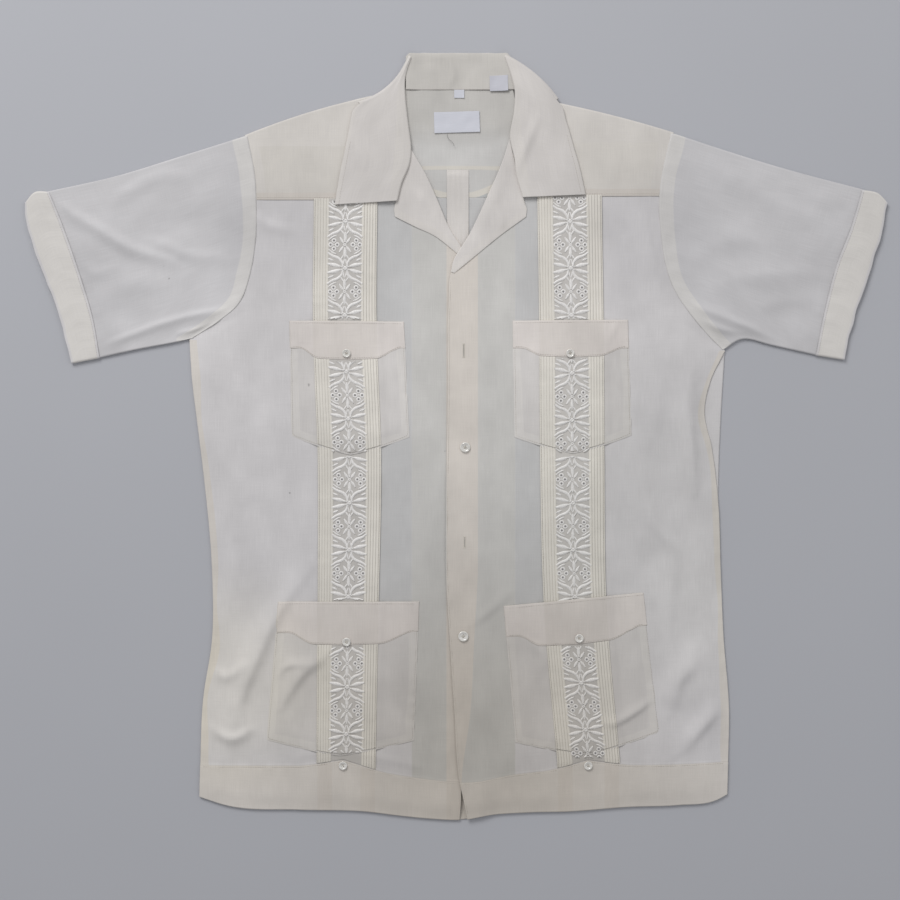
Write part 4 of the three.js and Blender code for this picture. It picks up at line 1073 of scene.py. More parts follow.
def flat_tube(plan, lengths, high, step, relief):
    """Grid once round a flattened tube at each share w along it: across the top, round a half
    circle at one fold, back along the floor and round the other. Returns the points, and whether
    each lies on top."""
    radius = high / 2
    top, low = spaced(200.0, step, 1.2), np.linspace(1, 0, 33)
    angles = np.linspace(0, np.pi, 9)[1:-1]
    flat, sines, cosines = np.zeros_like(low), np.sin(angles), np.cos(angles)
    offset = np.concatenate([0 * top, sines, flat, -sines])
    share = np.concatenate([top, np.ones_like(angles), low, np.zeros_like(angles)])
    level = np.concatenate([np.ones_like(top), cosines, flat - 1.0, -cosines])
    s, w = np.meshgrid(share, lengths)
    ends = plan(np.zeros_like(lengths), lengths) - plan(np.ones_like(lengths), lengths)
    size = np.linalg.norm(ends, axis=-1)[:, None]
    across = (radius + (size - 2 * radius) * s + radius * offset) / size
    point = plan(across, w)
    from_fold = np.minimum(across, 1 - across) * size
    lift = relief(point[..., 0], point[..., 1], from_fold) * np.clip(level, 0, 1)
    z = radius + radius * level + np.where(level > 0, lift, 0)
    return np.concatenate([point, z[..., None]], -1), np.broadcast_to(level >= 1, s.shape)


def ring_grain(grid, along_mm):
    """Grain map of a wrapped grid, corner by corner, so that the last column doesn't run back."""
    step = np.linalg.norm(np.diff(grid, axis=1, append=grid[:, :1]), axis=-1)
    u = np.concatenate([np.zeros((len(grid), 1)), np.cumsum(step, axis=1)], 1)
    v = np.broadcast_to(along_mm[:, None], u.shape)
    uv = np.stack([u, v], -1)
    return np.stack([uv[:-1, :-1], uv[:-1, 1:], uv[1:, 1:], uv[1:, :-1]], 2).reshape(-1, 2)


def make_sleeve(side):
    """Sleeve: a flattened tube from the armhole to the cuff, with its creases worked on top."""
    edges = SLEEVES[side]
    out = -1 if side == "right" else 1
    armhole = np.array([(x, y) for y, x in reversed(ARMHOLE[side])], float) - [3.0 * out, 0]
    seam = np.array(edges["seam"], float) + [2.5 * out, 0]
    plan = lambda s, w: coons(armhole, seam, [armhole[0], *edges["fold"], seam[0]],
                              [armhole[-1], *edges["underarm"], seam[-1]], s, w)
    lengths = spaced(155, 2.4, 1.5)
    to_body = lambda x, y: np.abs(x - through(ARMHOLE[side], np.clip(y, ARMHOLE[side][0][0], 331)))

    def relief(x, y, from_fold):
        from_body = to_body(x, y)
        from_cuff = np.abs(x - through([(h, a) for a, h in reversed(edges["seam"])], y))
        calm = smooth(from_fold / 22) * smooth(from_cuff / 16)
        wave = 1.5 * unevenness(x, y) + creased("sleeve", x, y) + 0.4 * rumple(x, y, 27, 17)
        pucker = 0.35 * rumple(x, y, 7, 33) * np.exp(-((from_body / 12) ** 2))
        body = np.where(y > YOKE_SEAM[side], yoke_top(x, y), front_top(side, x, y))
        body = (body + 0.5 - FRONT_TOP) * (1 - smooth(from_body / 14))
        wave = calm * smooth(from_body / 14) * wave + pucker * smooth(from_fold / 6)
        wave = wave + body * smooth(from_fold / 1.6)
        return wave - 0.7 * np.exp(-from_cuff / 3)

    grid, on_top = flat_tube(plan, lengths, FRONT_TOP, 2.6, relief)
    x, y = grid[..., 0], grid[..., 1]
    from_body = to_body(x, y)
    layers = {"facing": 13.0 + 2.5 * rumple(x, y, 34, 18) - from_body}
    # Its seam numbers put painted shade along the armhole seam on top.
    piece = cloth_piece(f"sleeve_{side}_tube", grid, "sleeve", layers,
                        np.where(on_top, from_body + 0.6, 9.0), ring_grain(grid, lengths * 170.0),
                        wrap=True, flip=side == "right")
    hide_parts(f"sleeve_{side}")


CUFF_WIDE = 31


def make_cuff(side):
    """Cuff: the sleeve's end turned up twice, a flattened tube a little thicker than the sleeve."""
    edges = SLEEVES[side]
    seam, end = np.array(edges["seam"], float), np.array(edges["end"], float)
    plan = lambda s, w: coons(seam, end, [seam[0], edges["cuff_fold"], end[0]], [seam[-1], end[-1]],
                              s, w)
    lengths = spaced(CUFF_WIDE, 2.2, 0.5)

    def relief(x, y, from_fold):
        return smooth(from_fold / 14) * (0.35 * rumple(x, y, 26, 71) + 0.2 * rumple(x, y, 9, 72))

    grid, on_top = flat_tube(plan, lengths, 4.5, 2.4, relief)
    w = np.broadcast_to(lengths[:, None], grid.shape[:2])
    x, y = grid[..., 0], grid[..., 1]
    from_seam = w * CUFF_WIDE
    drop = 0.5 * np.exp(-(1 - w) * CUFF_WIDE / 1.6)
    pucker = 0.4 * rumple(x, y, 5.5, 73) * np.exp(-from_seam / 5)
    grid[..., 2] -= np.where(on_top, drop + pucker, 0)
    grid[..., 0] += 0.9 * rumple(x, y, 15, 74) * smooth((w - 0.6) / 0.4)
    # Its seam numbers put a line of painted shade along the cuff's stitched edge.
    piece = cloth_piece(f"cuff_{side}_tube", grid, "cuff", {"tripled": strip(from_seam, 2.5, 28.5)},
                        np.where(on_top, from_seam + 0.2, 9.0),
                        ring_grain(grid, lengths * CUFF_WIDE), wall=1.0, wrap=True,
                        flip=side == "right")
    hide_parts(f"cuff_{side}")
    row = int(np.argmin(np.abs(lengths * CUFF_WIDE - 2.4)))
    stitches(f"cuff_{side}_stitching", [grid[row, np.flatnonzero(on_top[0])] + [0, 0, 0.03]])


def collar_rows():
    """Sections of the collar's outer face from roll to edge, right point to left point. Sections on
    a front lie level on top; at each shoulder they turn over in a half circle; behind the neck they
    lie on the floor, face down."""
    t = spaced(75, 2.6, 0.7)
    sections = np.array(COLLAR_SECTIONS, float)
    first, second = COLLAR_TURNS
    radius = COLLAR_TOP / 2
    shares = spaced(165, 2.6, 0.7)
    turns = np.linspace(0, np.pi, 13)[1:]
    halves = []
    for half, sign, bow in zip((sections[:first + 1], sections[second:][::-1]), (-1, 1), FOLD_BOW):
        run = half[-1, 1] - half[-1, 0]
        angle = math.atan2(run[1], run[0])
        out = np.array([-math.sin(angle) * sign, math.cos(angle) * sign])
        half[-1] -= out * radius
        roll, edge = even(half[:, 0], shares), even(half[:, 1], shares)
        push = out * radius * np.sin(turns)[:, None]
        bows = bow * smooth((shares - 0.62) / 0.38)[:, None] * out
        halves.append((
            np.concatenate([roll, roll[-1] + push]), np.concatenate([edge, edge[-1] + push]),
            np.concatenate([np.ones_like(shares), np.cos(turns)]),
            np.concatenate([bows, np.repeat(bows[-1:], len(turns), 0)]),
        ))
    right, left = halves
    shares = np.linspace(0, 1, 52)[1:-1]
    roll, edge = (even([right[k][-1], *sections[first + 1:second, k], left[k][-1]], shares)
                  for k in (0, 1))
    bows = (right[3][-1] * smooth(1 - 4 * shares)[:, None]
            + left[3][-1] * smooth(4 * shares - 3)[:, None])
    behind = (roll, edge, np.full_like(shares, -1.0), bows)
    rolls, edges, level, bows = (
        np.concatenate([a, b, c[::-1]]) for a, b, c in zip(right, behind, left))
    plan = rolls[:, None] * (1 - t[None, :, None]) + edges[:, None] * t[None, :, None]
    plan = plan + bows[:, None] * (4 * t * (1 - t))[None, :, None]
    return plan, rolls, edges, level, t


def rolled_under(leaf, unit, reach, drop, steps):
    """A leaf carried under along its roll: new columns before the first run out by the sine of a
    turn times reach, and down by 1 less its cosine times drop. Also gives a function that pads an
    array of the leaf's with a value for the new columns."""
    turn = np.linspace(np.pi, 0, steps)[:-1]
    plan = leaf[:, :1, :2] - (unit * reach)[:, None] * np.sin(turn)[:, None]
    z = leaf[:, :1, 2] - drop * (1 - np.cos(turn))
    grid = np.concatenate([np.concatenate([plan, z[..., None]], -1), leaf], 1)
    pad = lambda a, value: np.concatenate([np.full((len(a), len(turn)), value), a], 1)
    return grid, pad


ROLL_RADIUS = 2.0


def make_collar():
    """Collar: flat leaves on both fronts, turned under at the shoulders, rounded along its roll."""
    plan, rolls, edges, level, t = collar_rows()
    span = edges - rolls
    size = np.linalg.norm(span, axis=-1, keepdims=True)
    x, y = plan[..., 0], plan[..., 1]
    height = COLLAR_TOP / 2 * (1 + level)[:, None]
    on_front = np.clip(level, 0, 1)[:, None]
    from_roll, from_edge = t * size, (1 - t) * size
    relief = 1.5 * creased("collar", x, y) + 1.0 * rumple(x, y, 52, 41) + 0.4 * rumple(x, y, 19, 42)
    relief = relief * smooth(from_edge / 16) + 1.0 * np.exp(-(((from_roll - 9) / 8) ** 2))
    z = height + on_front * (relief - 0.55 * np.exp(-from_edge / 1.4))
    drop = ROLL_RADIUS * np.abs(level)[:, None] * np.where(level >= 0, 1.0, -0.72)[:, None]
    grid, pad = rolled_under(np.stack([x, y, z], -1), span / size, ROLL_RADIUS, drop, 9)
    layers = {"tripled": pad(strip(from_edge, 4.0, 60.0), FAR_OUT), "doubled": pad(0 * x + 5, 5.0)}
    along = np.broadcast_to(measured(edges)[:, None], grid.shape[:2])
    piece = cloth_piece("collar_leaf", grid, "collar", layers, None,
                        np.stack([pad(from_roll, 0.0), along], -1), wall=COLLAR_WALL, flip=True)
    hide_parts("collar")
    beside = grid.shape[1] - len(t) + int(np.argmin(np.abs((1 - t) * 70 - 5.0)))
    leaves = [grid[:40, beside], grid[-40:, beside]]
    stitches("collar_stitching", [leaf + [0, 0, 0.03] for leaf in leaves])


def make_stand():
    """Inside of the collar at the back of the neck, from the neck seam to the roll at the top."""
    u, v = np.meshgrid(spaced(127, 2.0), spaced(38, 2.0))
    x = STAND["ends"][0] + (STAND["ends"][1] - STAND["ends"][0]) * u
    top = stand_edge(x)
    y = NECK_SEAM - 0.5 + (top - NECK_SEAM + 0.5) * v
    z = stand_top(x, y) - 0.4 * np.exp(-(top - y) / 0.8)
    layers = {"tripled": y - NECK_SEAM - 1}
    piece = cloth_piece("collar_inside", np.stack([x, y, z], -1), "stand", layers,
                        y - NECK_SEAM + 0.5, wall=0.6)
    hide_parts("collar_stand")


def make_lapel(side):
    """Lapel: the top of a front turned back, puffed beside its roll and rounded under along it."""
    table = LAPELS[side]
    v = spaced(150, 2.4, 0.6)
    roll, edge = even(table["roll"], v), even(table["edge"], v, corners=(3, 4))
    span = edge - roll
    size = np.maximum(np.linalg.norm(span, axis=-1, keepdims=True), 0.5)
    t = spaced(60, 2.0, 0.5)
    plan = roll[:, None] + span[:, None] * t[None, :, None]
    x, y = plan[..., 0], plan[..., 1]
    from_roll, from_edge = t * size, (1 - t) * size
    climb = 0.0
    if side == "left":
        climb = left_rise(x, y) + 0.5 * smooth((50 - x) / 14) * smooth((y - 196) / 30)
    under_collar = smooth((v - 0.62) / 0.25)[:, None]
    wide = smooth(size / 26)
    puff = wide * (1 - 0.8 * under_collar) * 1.1 * np.exp(-(((from_roll - 9) / 10) ** 2))
    relief = 0.6 * rumple(x, y, 21, 81) + creased("collar", x, y) * (1 - under_collar)
    z = 4.75 + climb + puff + relief * smooth(from_edge / 8) * (1 - 0.7 * under_collar)
    z = z - 0.3 * np.exp(-from_edge / 1.0)
    depth = np.minimum(1.4, size * 0.14 + 0.2)
    grid, pad = rolled_under(np.stack([x, y, z], -1), span / size, depth, 0.8 * depth, 7)
    layers = {"tripled": pad(np.minimum(from_edge, 50) - 8, 3.0), "doubled": pad(0 * x + 5, 5.0)}
    piece = cloth_piece(f"lapel_{side}_leaf", grid, "collar", layers, wall=0.9, flip=side == "right")
    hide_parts(f"lapel_{side}")


def tuck_lines(width, high):
    """Places across a band and the height of each: tucks lean outwards on both sides of a plain
    middle. Each rises at its stitching and slopes down over the next pleat."""
    shape = [(0.0, 0.0), (0.35, 0.9), (0.85, 1.0), (2.3, 0.62), (2.95, 0.35), (3.15, 0.0)]
    half = [(0.0, 0.25), (0.6, 0.55), (1.5, 0.5)]
    for k in range(TUCKS):
        half += [(TUCK_FIRST + TUCK_PITCH * k + at, rise) for at, rise in shape]
    half.append((TUCK_FIRST + TUCK_PITCH * TUCKS + 0.5, 0.0))
    half = np.array(half)
    inner = half[-1, 0]
    middle = np.linspace(inner, width - inner, max(6, round((width - 2 * inner) / 2.2)) + 1)[1:-1]
    places = np.concatenate([half[:, 0], middle, width - half[::-1, 0]])
    rises = np.concatenate([half[:, 1], 0 * middle, half[::-1, 1]]) * high
    return places, rises


def band_plan(side, u, y):
    """Distance across the shirt of share u across a band, at height y."""
    low, high = band_edges(side, y)
    return low + (high - low) * u


def band_cloth(name, side, bottom, top, base, high, node):
    """A tucked band laid on a base between two edges, each a height for a share across the band.
    Cross puckers run over its tucks, and the stitching dimples its middle."""
    places, rises = tuck_lines(BAND_WIDTH, high)
    share = places / BAND_WIDTH
    tall = float(np.mean(top(share) - bottom(share)))
    u, v = np.meshgrid(share, spaced(tall, 2.8, 0.6))
    rise = np.broadcast_to(rises, u.shape)
    y = bottom(u) * (1 - v) + top(u) * v
    x = band_plan(side, u, y)
    inner = TUCK_FIRST + TUCK_PITCH * TUCKS
    in_middle = strip(u * BAND_WIDTH, inner, BAND_WIDTH - inner)
    pucker = 0.22 * rumple(x * 0.4, y, 5.0, 91) * smooth(-in_middle / 1.5 + 0.6)
    dimple = 0.2 * rumple(x, y, 4.2, 92) * smooth(in_middle / 2)
    z = base(x, y) + ON_BASE + rise + pucker + dimple
    layers = {
        "doubled": -in_middle,
        "tripled": np.where(in_middle < 0, np.where(rise > 0.3 * high, 1.2, -1.2), FAR_OUT),
    }
    # Painted shade: small numbers here darken the valleys between tucks and the band's plain edges.
    seam_shade = 0.25 + 1.6 * np.where(in_middle < 0.5, rise / high, 1.0)
    piece = cloth_piece(name, np.stack([x, y, z], -1), "band", layers, seam_shade, wall=0.5)
    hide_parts(node)
    edges = [int(np.argmin(np.abs(places - at))) for at in (1.5, BAND_WIDTH - 1.5)]
    stitches(f"{name}_stitching", [np.stack([x[:, k], y[:, k], z[:, k] + 0.03], -1) for k in edges])
    return piece


def make_band(side):
    """The band down one front, from the yoke seam to its button above the hem."""
    base = lambda x, y: front_top(side, x, y) + 0.25 - 0.55 * smooth(1 - (y - hem_top(x)) / 5)
    low = lambda u: hem_top(band_plan(side, u, np.full_like(u, -357.0))) + 0.6
    high = lambda u: np.full_like(u, YOKE_SEAM[side] + 0.6)
    tuck = settings().tuck_height / MM
    band = band_cloth(f"band_{side}_cloth", side, low, high, base, tuck, f"band_{side}")


def make_pocket(name):
    """Patch pocket: swells over the band below it, with its turned-in edges showing through."""
    shape = POCKETS[name]
    side = shape["side"]
    width = shape["top"][1][0] - shape["top"][0][0]
    tall = shape["top"][0][1] - shape["bottom"][0][1] + shape["dip"]
    u, v = np.meshgrid(spaced(width, 2.4), spaced(tall, 2.6))
    x, y = pocket_plan(name, u, v)
    edge = pocket_edge(name, x, y)
    z = pocket_top(name, x, y) - 0.3 * np.exp(-edge / 1.0)
    z = z + 0.3 * rumple(x, y, 6.5, 101) * np.exp(-((edge / 8) ** 2))
    low, high = band_edges(side, y)
    layers = {
        "facing": np.maximum(9.0 + 1.5 * rumple(x, y, 40, 105) - edge, strip(x, low, high)),
        "doubled": y - flap_edge(name, x),
    }
    # Its seam numbers put a line of painted shade along the pocket's edges.
    piece = cloth_piece(f"pocket_{name}_cloth", np.stack([x, y, z], -1), "pocket", layers,
                        edge + 0.5, wall=0.5)
    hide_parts(f"pocket_{name}")


def flap_top(name, x, y):
    """Top of a flap: close to the pocket, and higher over the pocket's tucks."""
    side = POCKETS[name]["side"]
    return pocket_top(name, x, y) + 0.38 + 0.25 * over_band(side, x, y, 4.0)


def make_flap(name):
    """Facing at a pocket's mouth, shaped as a flap whose lower edge comes to a bracket's point."""
    shape = POCKETS[name]
    side = shape["side"]
    width = shape["top"][1][0] - shape["top"][0][0]
    u, v = np.meshgrid(spaced(width, 2.4), spaced(40, 2.2))
    (tx0, ty0), (tx1, ty1) = shape["top"]
    (fx0, _), (fx1, _) = shape["flap"]
    x_low = fx0 + (fx1 - fx0) * u
    y_low = flap_edge(name, x_low)
    x = x_low + (tx0 + (tx1 - tx0) * u - x_low) * v + 0.5 * (1 - 2 * u)
    y = y_low + (ty0 + (ty1 - ty0) * u - y_low) * v - 0.4 * v
    from_low = y - flap_edge(name, x)
    edge = least(from_low, np.minimum(u, 1 - u) * width, (1 - v) * 34)
    z = flap_top(name, x, y) - 0.2 * np.exp(-edge / 0.9)
    z = z + 0.25 * rumple(x, y, 7, 111) * np.exp(-((edge / 7) ** 2))
    low, high = band_edges(side, y)
    layers = {"doubled": 5.0 + 0 * x, "tripled": np.maximum(strip(x, low, high), 1.6 - from_low)}
    # Its seam numbers put a line of painted shade along the flap's edges.
    piece = cloth_piece(f"flap_{name}_cloth", np.stack([x, y, z], -1), "flap", layers, edge + 0.8,
                        wall=0.4)
    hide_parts(f"flap_{name}")


def tucks_base(name, x, y):
    """What a pocket's tucks lie on: sunk a little into the pocket, and more at its edge."""
    return pocket_top(name, x, y) - 0.25 * (1 + smooth(1 - pocket_edge(name, x, y) / 6))


def make_pocket_tucks(name):
    """The band's tucks carried on across the pocket, below its flap."""
    shape = POCKETS[name]
    side = shape["side"]
    base = lambda x, y: tucks_base(name, x, y)

    def low(u):
        x = band_plan(side, u, np.full_like(u, shape["bottom"][0][1]))
        (x0, y0), (x1, y1) = shape["bottom"]
        s = np.clip((x - x0) / (x1 - x0), 0, 1)
        return y0 + (y1 - y0) * s - shape["dip"] * pocket_point(s) + 2.4

    def high(u):
        x = band_plan(side, u, np.full_like(u, shape["flap"][0][1]))
        return flap_edge(name, x) - 0.2

    tuck = 0.75 * settings().tuck_height / MM
    piece = band_cloth(f"pocket_{name}_tucks", side, low, high, base, tuck, f"tucks_{name}")


# ---- Embroidery ----
REPEAT = 51.5  # length of the embroidery's repeat, from one crossing to the next
# Height up the shirt of one crossing on each piece.
CROSSINGS = {"front": 236.1, "chest_right": 70.9, "chest_left": 69.3, "hip_right": -274.5,
             "hip_left": -270.0}

# Satin stitched strokes of one repeat, for one quarter: a line of points (across, along) from the
# crossing, and its width at the start, middle and end. All are mirrored across and along.
QUARTER = [
    ([(5.0, 1.7), (11.0, 3.4), (19.2, 5.0)], (2.0, 4.9, 2.6), 1.05),  # leaf
    ([(1.2, 0.6), (3.4, 1.5), (6.0, 2.2)], (1.4, 1.8, 1.5), 0.7),  # its stem
    ([(2.2, 1.8), (3.6, 7.2), (7.8, 11.4), (13.6, 13.6), (19.2, 17.2)], (2.3, 3.9, 2.6), 1.0),
    ([(4.6, 9.6), (2.8, 12.2), (0.9, 15.0)], (1.3, 2.1, 1.2), 0.7),  # tendril, after the vine
    ([(1.2, 24.4), (3.4, 21.4), (6.2, 17.4)], (1.2, 3.4, 1.4), 0.85),  # slanting petal
    ([(9.4, 15.6), (13.4, 17.2), (18.6, 21.0)], (1.2, 2.3, 1.2), 0.75),  # bud on the vine
    ([(12.4, 8.2), (15.2, 9.4), (18.8, 11.0)], (1.1, 2.6, 1.2), 0.7),  # small leaf
    ([(1.6, 4.2), (1.2, 7.6), (0.2, 10.4)], (0.9, 1.8, 0.8), 0.55),  # bract inside the vine
]
# Strokes on the middle line, mirrored along the band only.
MIDDLE = [
    ([(0.0, 11.4), (0.0, 16.6), (0.0, 23.2)], (1.4, 4.4, 1.8), 1.0),  # long petal
    ([(-2.2, -0.4), (0.0, 1.2), (2.2, -0.4)], (1.8, 3.2, 1.8), 0.9),  # knot at the crossing
]
# Flowers of four eyelets beside the middle of each repeat: places from the middle of the flower.
FLOWER = (12.2, REPEAT / 2)
EYELETS = [(3.8, 0.0), (-3.8, 0.0), (0.0, 4.5), (0.0, -4.5)]
EYELET_OUT, EYELET_IN = 2.75, 1.05
DRAWN_IN = 0.85  # share of a stroke's width left once its stitches are drawn tight


def stroke_mesh(points, widths, high, around=5, length=11):
    """A padded satin stroke: a lens along a curve, whose height is a half ellipse across it. Gives
    (along, across) places, heights and faces."""
    t = np.linspace(0, 1, length)
    line = curve(points, t)
    run = np.gradient(line, axis=0)
    run /= np.linalg.norm(run, axis=1, keepdims=True)
    normal = np.stack([-run[:, 1], run[:, 0]], 1)
    half = curve([[w] for w in widths], t)[:, 0] * DRAWN_IN / 2
    side = np.linspace(-1, 1, around)
    place = line[:, None] + normal[:, None] * (half[:, None] * side)[..., None]
    rise = high * np.sqrt(np.clip(1 - side**2, 0, 1))[None] * np.minimum(1, half / 0.8)[:, None]
    rise *= np.where(np.arange(length) % 2, 0.62, 1.05)[:, None]
    return place.reshape(-1, 2), rise.ravel() + 0.02, grid_faces(length, around)[:, ::-1]


def ring_mesh(centre, outer, inner, high, count=10):
    """A corded ring round an eyelet: three circles, the middle one raised."""
    angle = np.arange(count) * 2 * np.pi / count
    circle = np.stack([np.cos(angle), np.sin(angle)], 1)
    radii = np.array([outer, (outer + inner) / 2, inner])
    place = (np.array(centre) + radii[:, None, None] * circle).reshape(-1, 2)
    rise = np.repeat([0.05, high, 0.05], count)
    return place, rise, grid_faces(3, count, wrap=True)


def disc_mesh(centre, radius, count=8):
    """A small flat eight-sided patch, for the shade in an eyelet."""
    angle = np.arange(count) * 2 * np.pi / count
    place = np.array(centre) + radius * np.stack([np.cos(angle), np.sin(angle)], 1)
    return place, np.full(count, 0.12), np.array([[0, i, i + 1, i + 1] for i in range(1, count - 1)])


def one_repeat():
    """Floss meshes of one repeat, and dark discs of painted shade in its eyelets, crossing to
    crossing, about the band's middle line.
    """
    floss, eyelet_shades = [], []
    strokes = [(stroke, across) for stroke in QUARTER for across in (1, -1)]
    for (points, widths, high), across in strokes + [(stroke, 1) for stroke in MIDDLE]:
        for along in (1, -1):
            placed = [(x * across, y if along > 0 else REPEAT - y) for x, y in points]
            floss.append(stroke_mesh(placed, widths, high))
    for across in (1, -1):
        for x, y in EYELETS:
            centre = (across * (FLOWER[0] + x), FLOWER[1] + y)
            floss.append(ring_mesh(centre, EYELET_OUT, EYELET_IN, 0.5))
            # A dark disc of painted shade inside the open eyelet.
            eyelet_shades.append(disc_mesh(centre, EYELET_IN + 0.25))
        floss.append(ring_mesh((across * FLOWER[0], FLOWER[1]), 1.1, 0.3, 0.4, 8))
    floss.append(ring_mesh((0, FLOWER[1]), 1.9, 0.5, 0.55, 8))
    return joined(floss), joined(eyelet_shades)


def joined(parts):
    """Several (places, other numbers, faces) as one, with the faces renumbered."""
    start = np.cumsum([0] + [len(p[0]) for p in parts[:-1]])
    return (np.concatenate([p[0] for p in parts]), np.concatenate([p[1] for p in parts]),
            np.concatenate([p[2] + s for p, s in zip(parts, start)]))


def embroidery_spans(side):
    """Stretches of a band that show: between the yoke seam and the chest flap, and so on down."""
    chest, hip = POCKETS[f"chest_{side}"], POCKETS[f"hip_{side}"]
    middle = np.array([-120.0 if side == "right" else 128.0])
    chest_flap, hip_flap = (flap_edge(f"{row}_{side}", middle)[0] for row in ("chest", "hip"))
    return [
        (chest["top"][0][1] + 1.5, YOKE_SEAM[side] - 1.5, "front"),
        (chest["bottom"][0][1] - chest["dip"] + 3, chest_flap - 1.0, "chest"),
        (hip["top"][0][1] + 1.5, chest["bottom"][0][1] - chest["dip"] - 1.0, "front"),
        (hip["bottom"][0][1] - hip["dip"] + 3, hip_flap - 1.0, "hip"),
    ]


def make_embroidery(side):
    """Satin stitched vine with leaves and four-eyelet flowers, repeated down the band's middle and
    cut off where a pocket, flap or seam covers it."""
    stand_out = settings().floss_height / MM
    # The eyelets' mesh is dark discs of painted shade in the open eyelets.
    for kind, (place, rise, faces), finish in zip(
            ("floss", "eyelets"), one_repeat(), ("floss", "eyelet")):
        parts = []
        for low, high, where in embroidery_spans(side):
            name = where if where == "front" else f"{where}_{side}"
            start = CROSSINGS[name]
            first = math.floor((low - start) / REPEAT) - 1
            last = math.ceil((high - start) / REPEAT) + 1
            for k in range(first, last):
                along = place[:, 1] + start + k * REPEAT
                left, right = band_edges(side, along)
                across = (left + right) / 2 + place[:, 0]
                kept = (along[faces] > low).all(1) & (along[faces] < high).all(1)
                if not kept.any():
                    continue
                wobble = 0.35 * rumple(across, along, 9, 121)
                if where == "front":
                    ground = front_top(side, across, along) + 0.25
                else:
                    ground = tucks_base(name, across, along)
                raised = stand_out * rise * (1 + 0.25 * rumple(across, along, 6, 122))
                z = ground + ON_BASE + 0.12 + raised
                used, numbered = np.unique(faces[kept], return_inverse=True)
                parts.append((np.stack([across + wobble, along, z], -1)[used],
                              np.stack([along, across], -1)[used], numbered.reshape(-1, 4)))
        vertices, grain, shown = joined(parts)
        shown = shown[:, :3] if kind == "eyelets" else shown
        new_object(f"embroidery_{side}_{kind}", vertices, shown, finish, grain=grain)


# ---- Buttons, buttonholes and labels ----
def button_rings(radius, thick):
    """Profile of a turned button from the middle of its top to the middle of its back: a flat well,
    a rounded rim and a flat back, as (distance from the middle, height) in shares of its size."""
    return np.array([
        (0.0, 0.62), (0.2, 0.62), (0.4, 0.63), (0.56, 0.66), (0.66, 0.82), (0.76, 0.97), (0.85, 1.0),
        (0.93, 0.92), (0.985, 0.72), (1.0, 0.5), (0.97, 0.27), (0.88, 0.1), (0.6, 0.0), (0.0, 0.0),
    ]) * [radius, thick]


# A strand of thread over a button: share of the way to a hole, and height above the button's back.
STRAND = np.array([(1.0, 1.0), (0.6, 1.5), (0.0, 1.55), (-0.6, 1.5), (-1.0, 1.0)])


def make_button(node, diameter, turn, cloth):
    """Four-hole button: the profile turned round, with four dimples pressed into its well. It lies
    just above the cloth."""
    low, high = (np.array(corner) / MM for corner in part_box(node))
    centre = (low + high) / 2
    low[2] = min(low[2], cloth(centre[:1], centre[1:2])[0] + 0.35)
    profile = button_rings(diameter / 2, 2.0)
    sides = 40
    angle = np.arange(sides) * 2 * np.pi / sides
    fine = np.concatenate([curve(profile[:5], np.linspace(0, 1, 14)), profile[5:]])
    radius, height = fine[1:-1, 0], fine[1:-1, 1]
    x, y = radius[:, None] * np.cos(angle), radius[:, None] * np.sin(angle)
    z = np.broadcast_to(height[:, None], x.shape).copy()
    hole = 0.125 * diameter
    for quarter in range(4):
        place = turn + np.pi / 4 + quarter * np.pi / 2
        far = np.hypot(x - hole * np.cos(place), y - hole * np.sin(place))
        z -= np.where(z > 1.0, 0.75 * smooth(1 - (far - 0.55) / 0.45), 0)
    ring = np.stack([x, y, z], -1).reshape(-1, 3)
    seat = np.array([*centre[:2], low[2]])
    vertices = np.concatenate([ring, [[0, 0, fine[0, 1]], [0, 0, 0]]]) + seat
    count = len(radius)
    quads = grid_faces(count, sides, wrap=True)[:, ::-1]
    top, bottom, k = count * sides, count * sides + 1, np.arange(sides)
    caps = [[top, i, (i + 1) % sides] for i in k]
    caps += [[bottom, (count - 1) * sides + (i + 1) % sides, (count - 1) * sides + i] for i in k]
    piece = new_object(f"{node}_pearl", vertices, faces_as_list(quads.tolist() + caps), "pearl")
    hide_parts(node)
    strands = []
    for quarter in (0, 1):
        place = turn + np.pi / 4 + quarter * np.pi / 2
        along = np.array([np.cos(place), np.sin(place), 0.0])
        aside = np.array([along[1], -along[0], 0.0])
        for shift in (-0.16, 0.16):
            strands.append(seat + shift * aside + hole * STRAND[:, :1] * along
                           + STRAND[:, 1:] * [0.0, 0.0, 1.0])
    shank = seat + [[0, 0, -0.6], [0, 0, 0.3]]
    tubes(f"{node}_thread", [*strands, shank], [0.3] * len(strands) + [1.3], "thread")


def tubes(name, paths, sizes, finish, sides=7):
    """Round threads of the given diameters along several paths of points, closed at both ends."""
    vertices, faces, base = [], [], 0
    angle = np.arange(sides) * 2 * np.pi / sides
    for path, size in zip(paths, sizes):
        path = np.asarray(path, float)
        run = np.gradient(path, axis=0)
        run /= np.linalg.norm(run, axis=1, keepdims=True)
        helper = np.array([0.0, 1.0, 0.0]) if abs(run[0, 2]) > 0.9 else np.array([0.0, 0.0, 1.0])
        side = np.cross(run, helper)
        side /= np.linalg.norm(side, axis=1, keepdims=True)
        up = np.cross(side, run)
        circle = np.cos(angle)[:, None, None] * side + np.sin(angle)[:, None, None] * up
        vertices.append((path + circle * size / 2).transpose(1, 0, 2).reshape(-1, 3))
        faces += (grid_faces(len(path), sides, wrap=True) + base).tolist()
        faces.append(list(range(base, base + sides))[::-1])
        base += len(path) * sides
        faces.append(list(range(base - sides, base)))
    new_object(name, np.concatenate(vertices), faces_as_list(faces), finish)


def faces_as_list(faces):
    """Faces of unlike lengths, kept as an array of lists."""
    kept = np.empty(len(faces), object)
    kept[:] = faces
    return kept


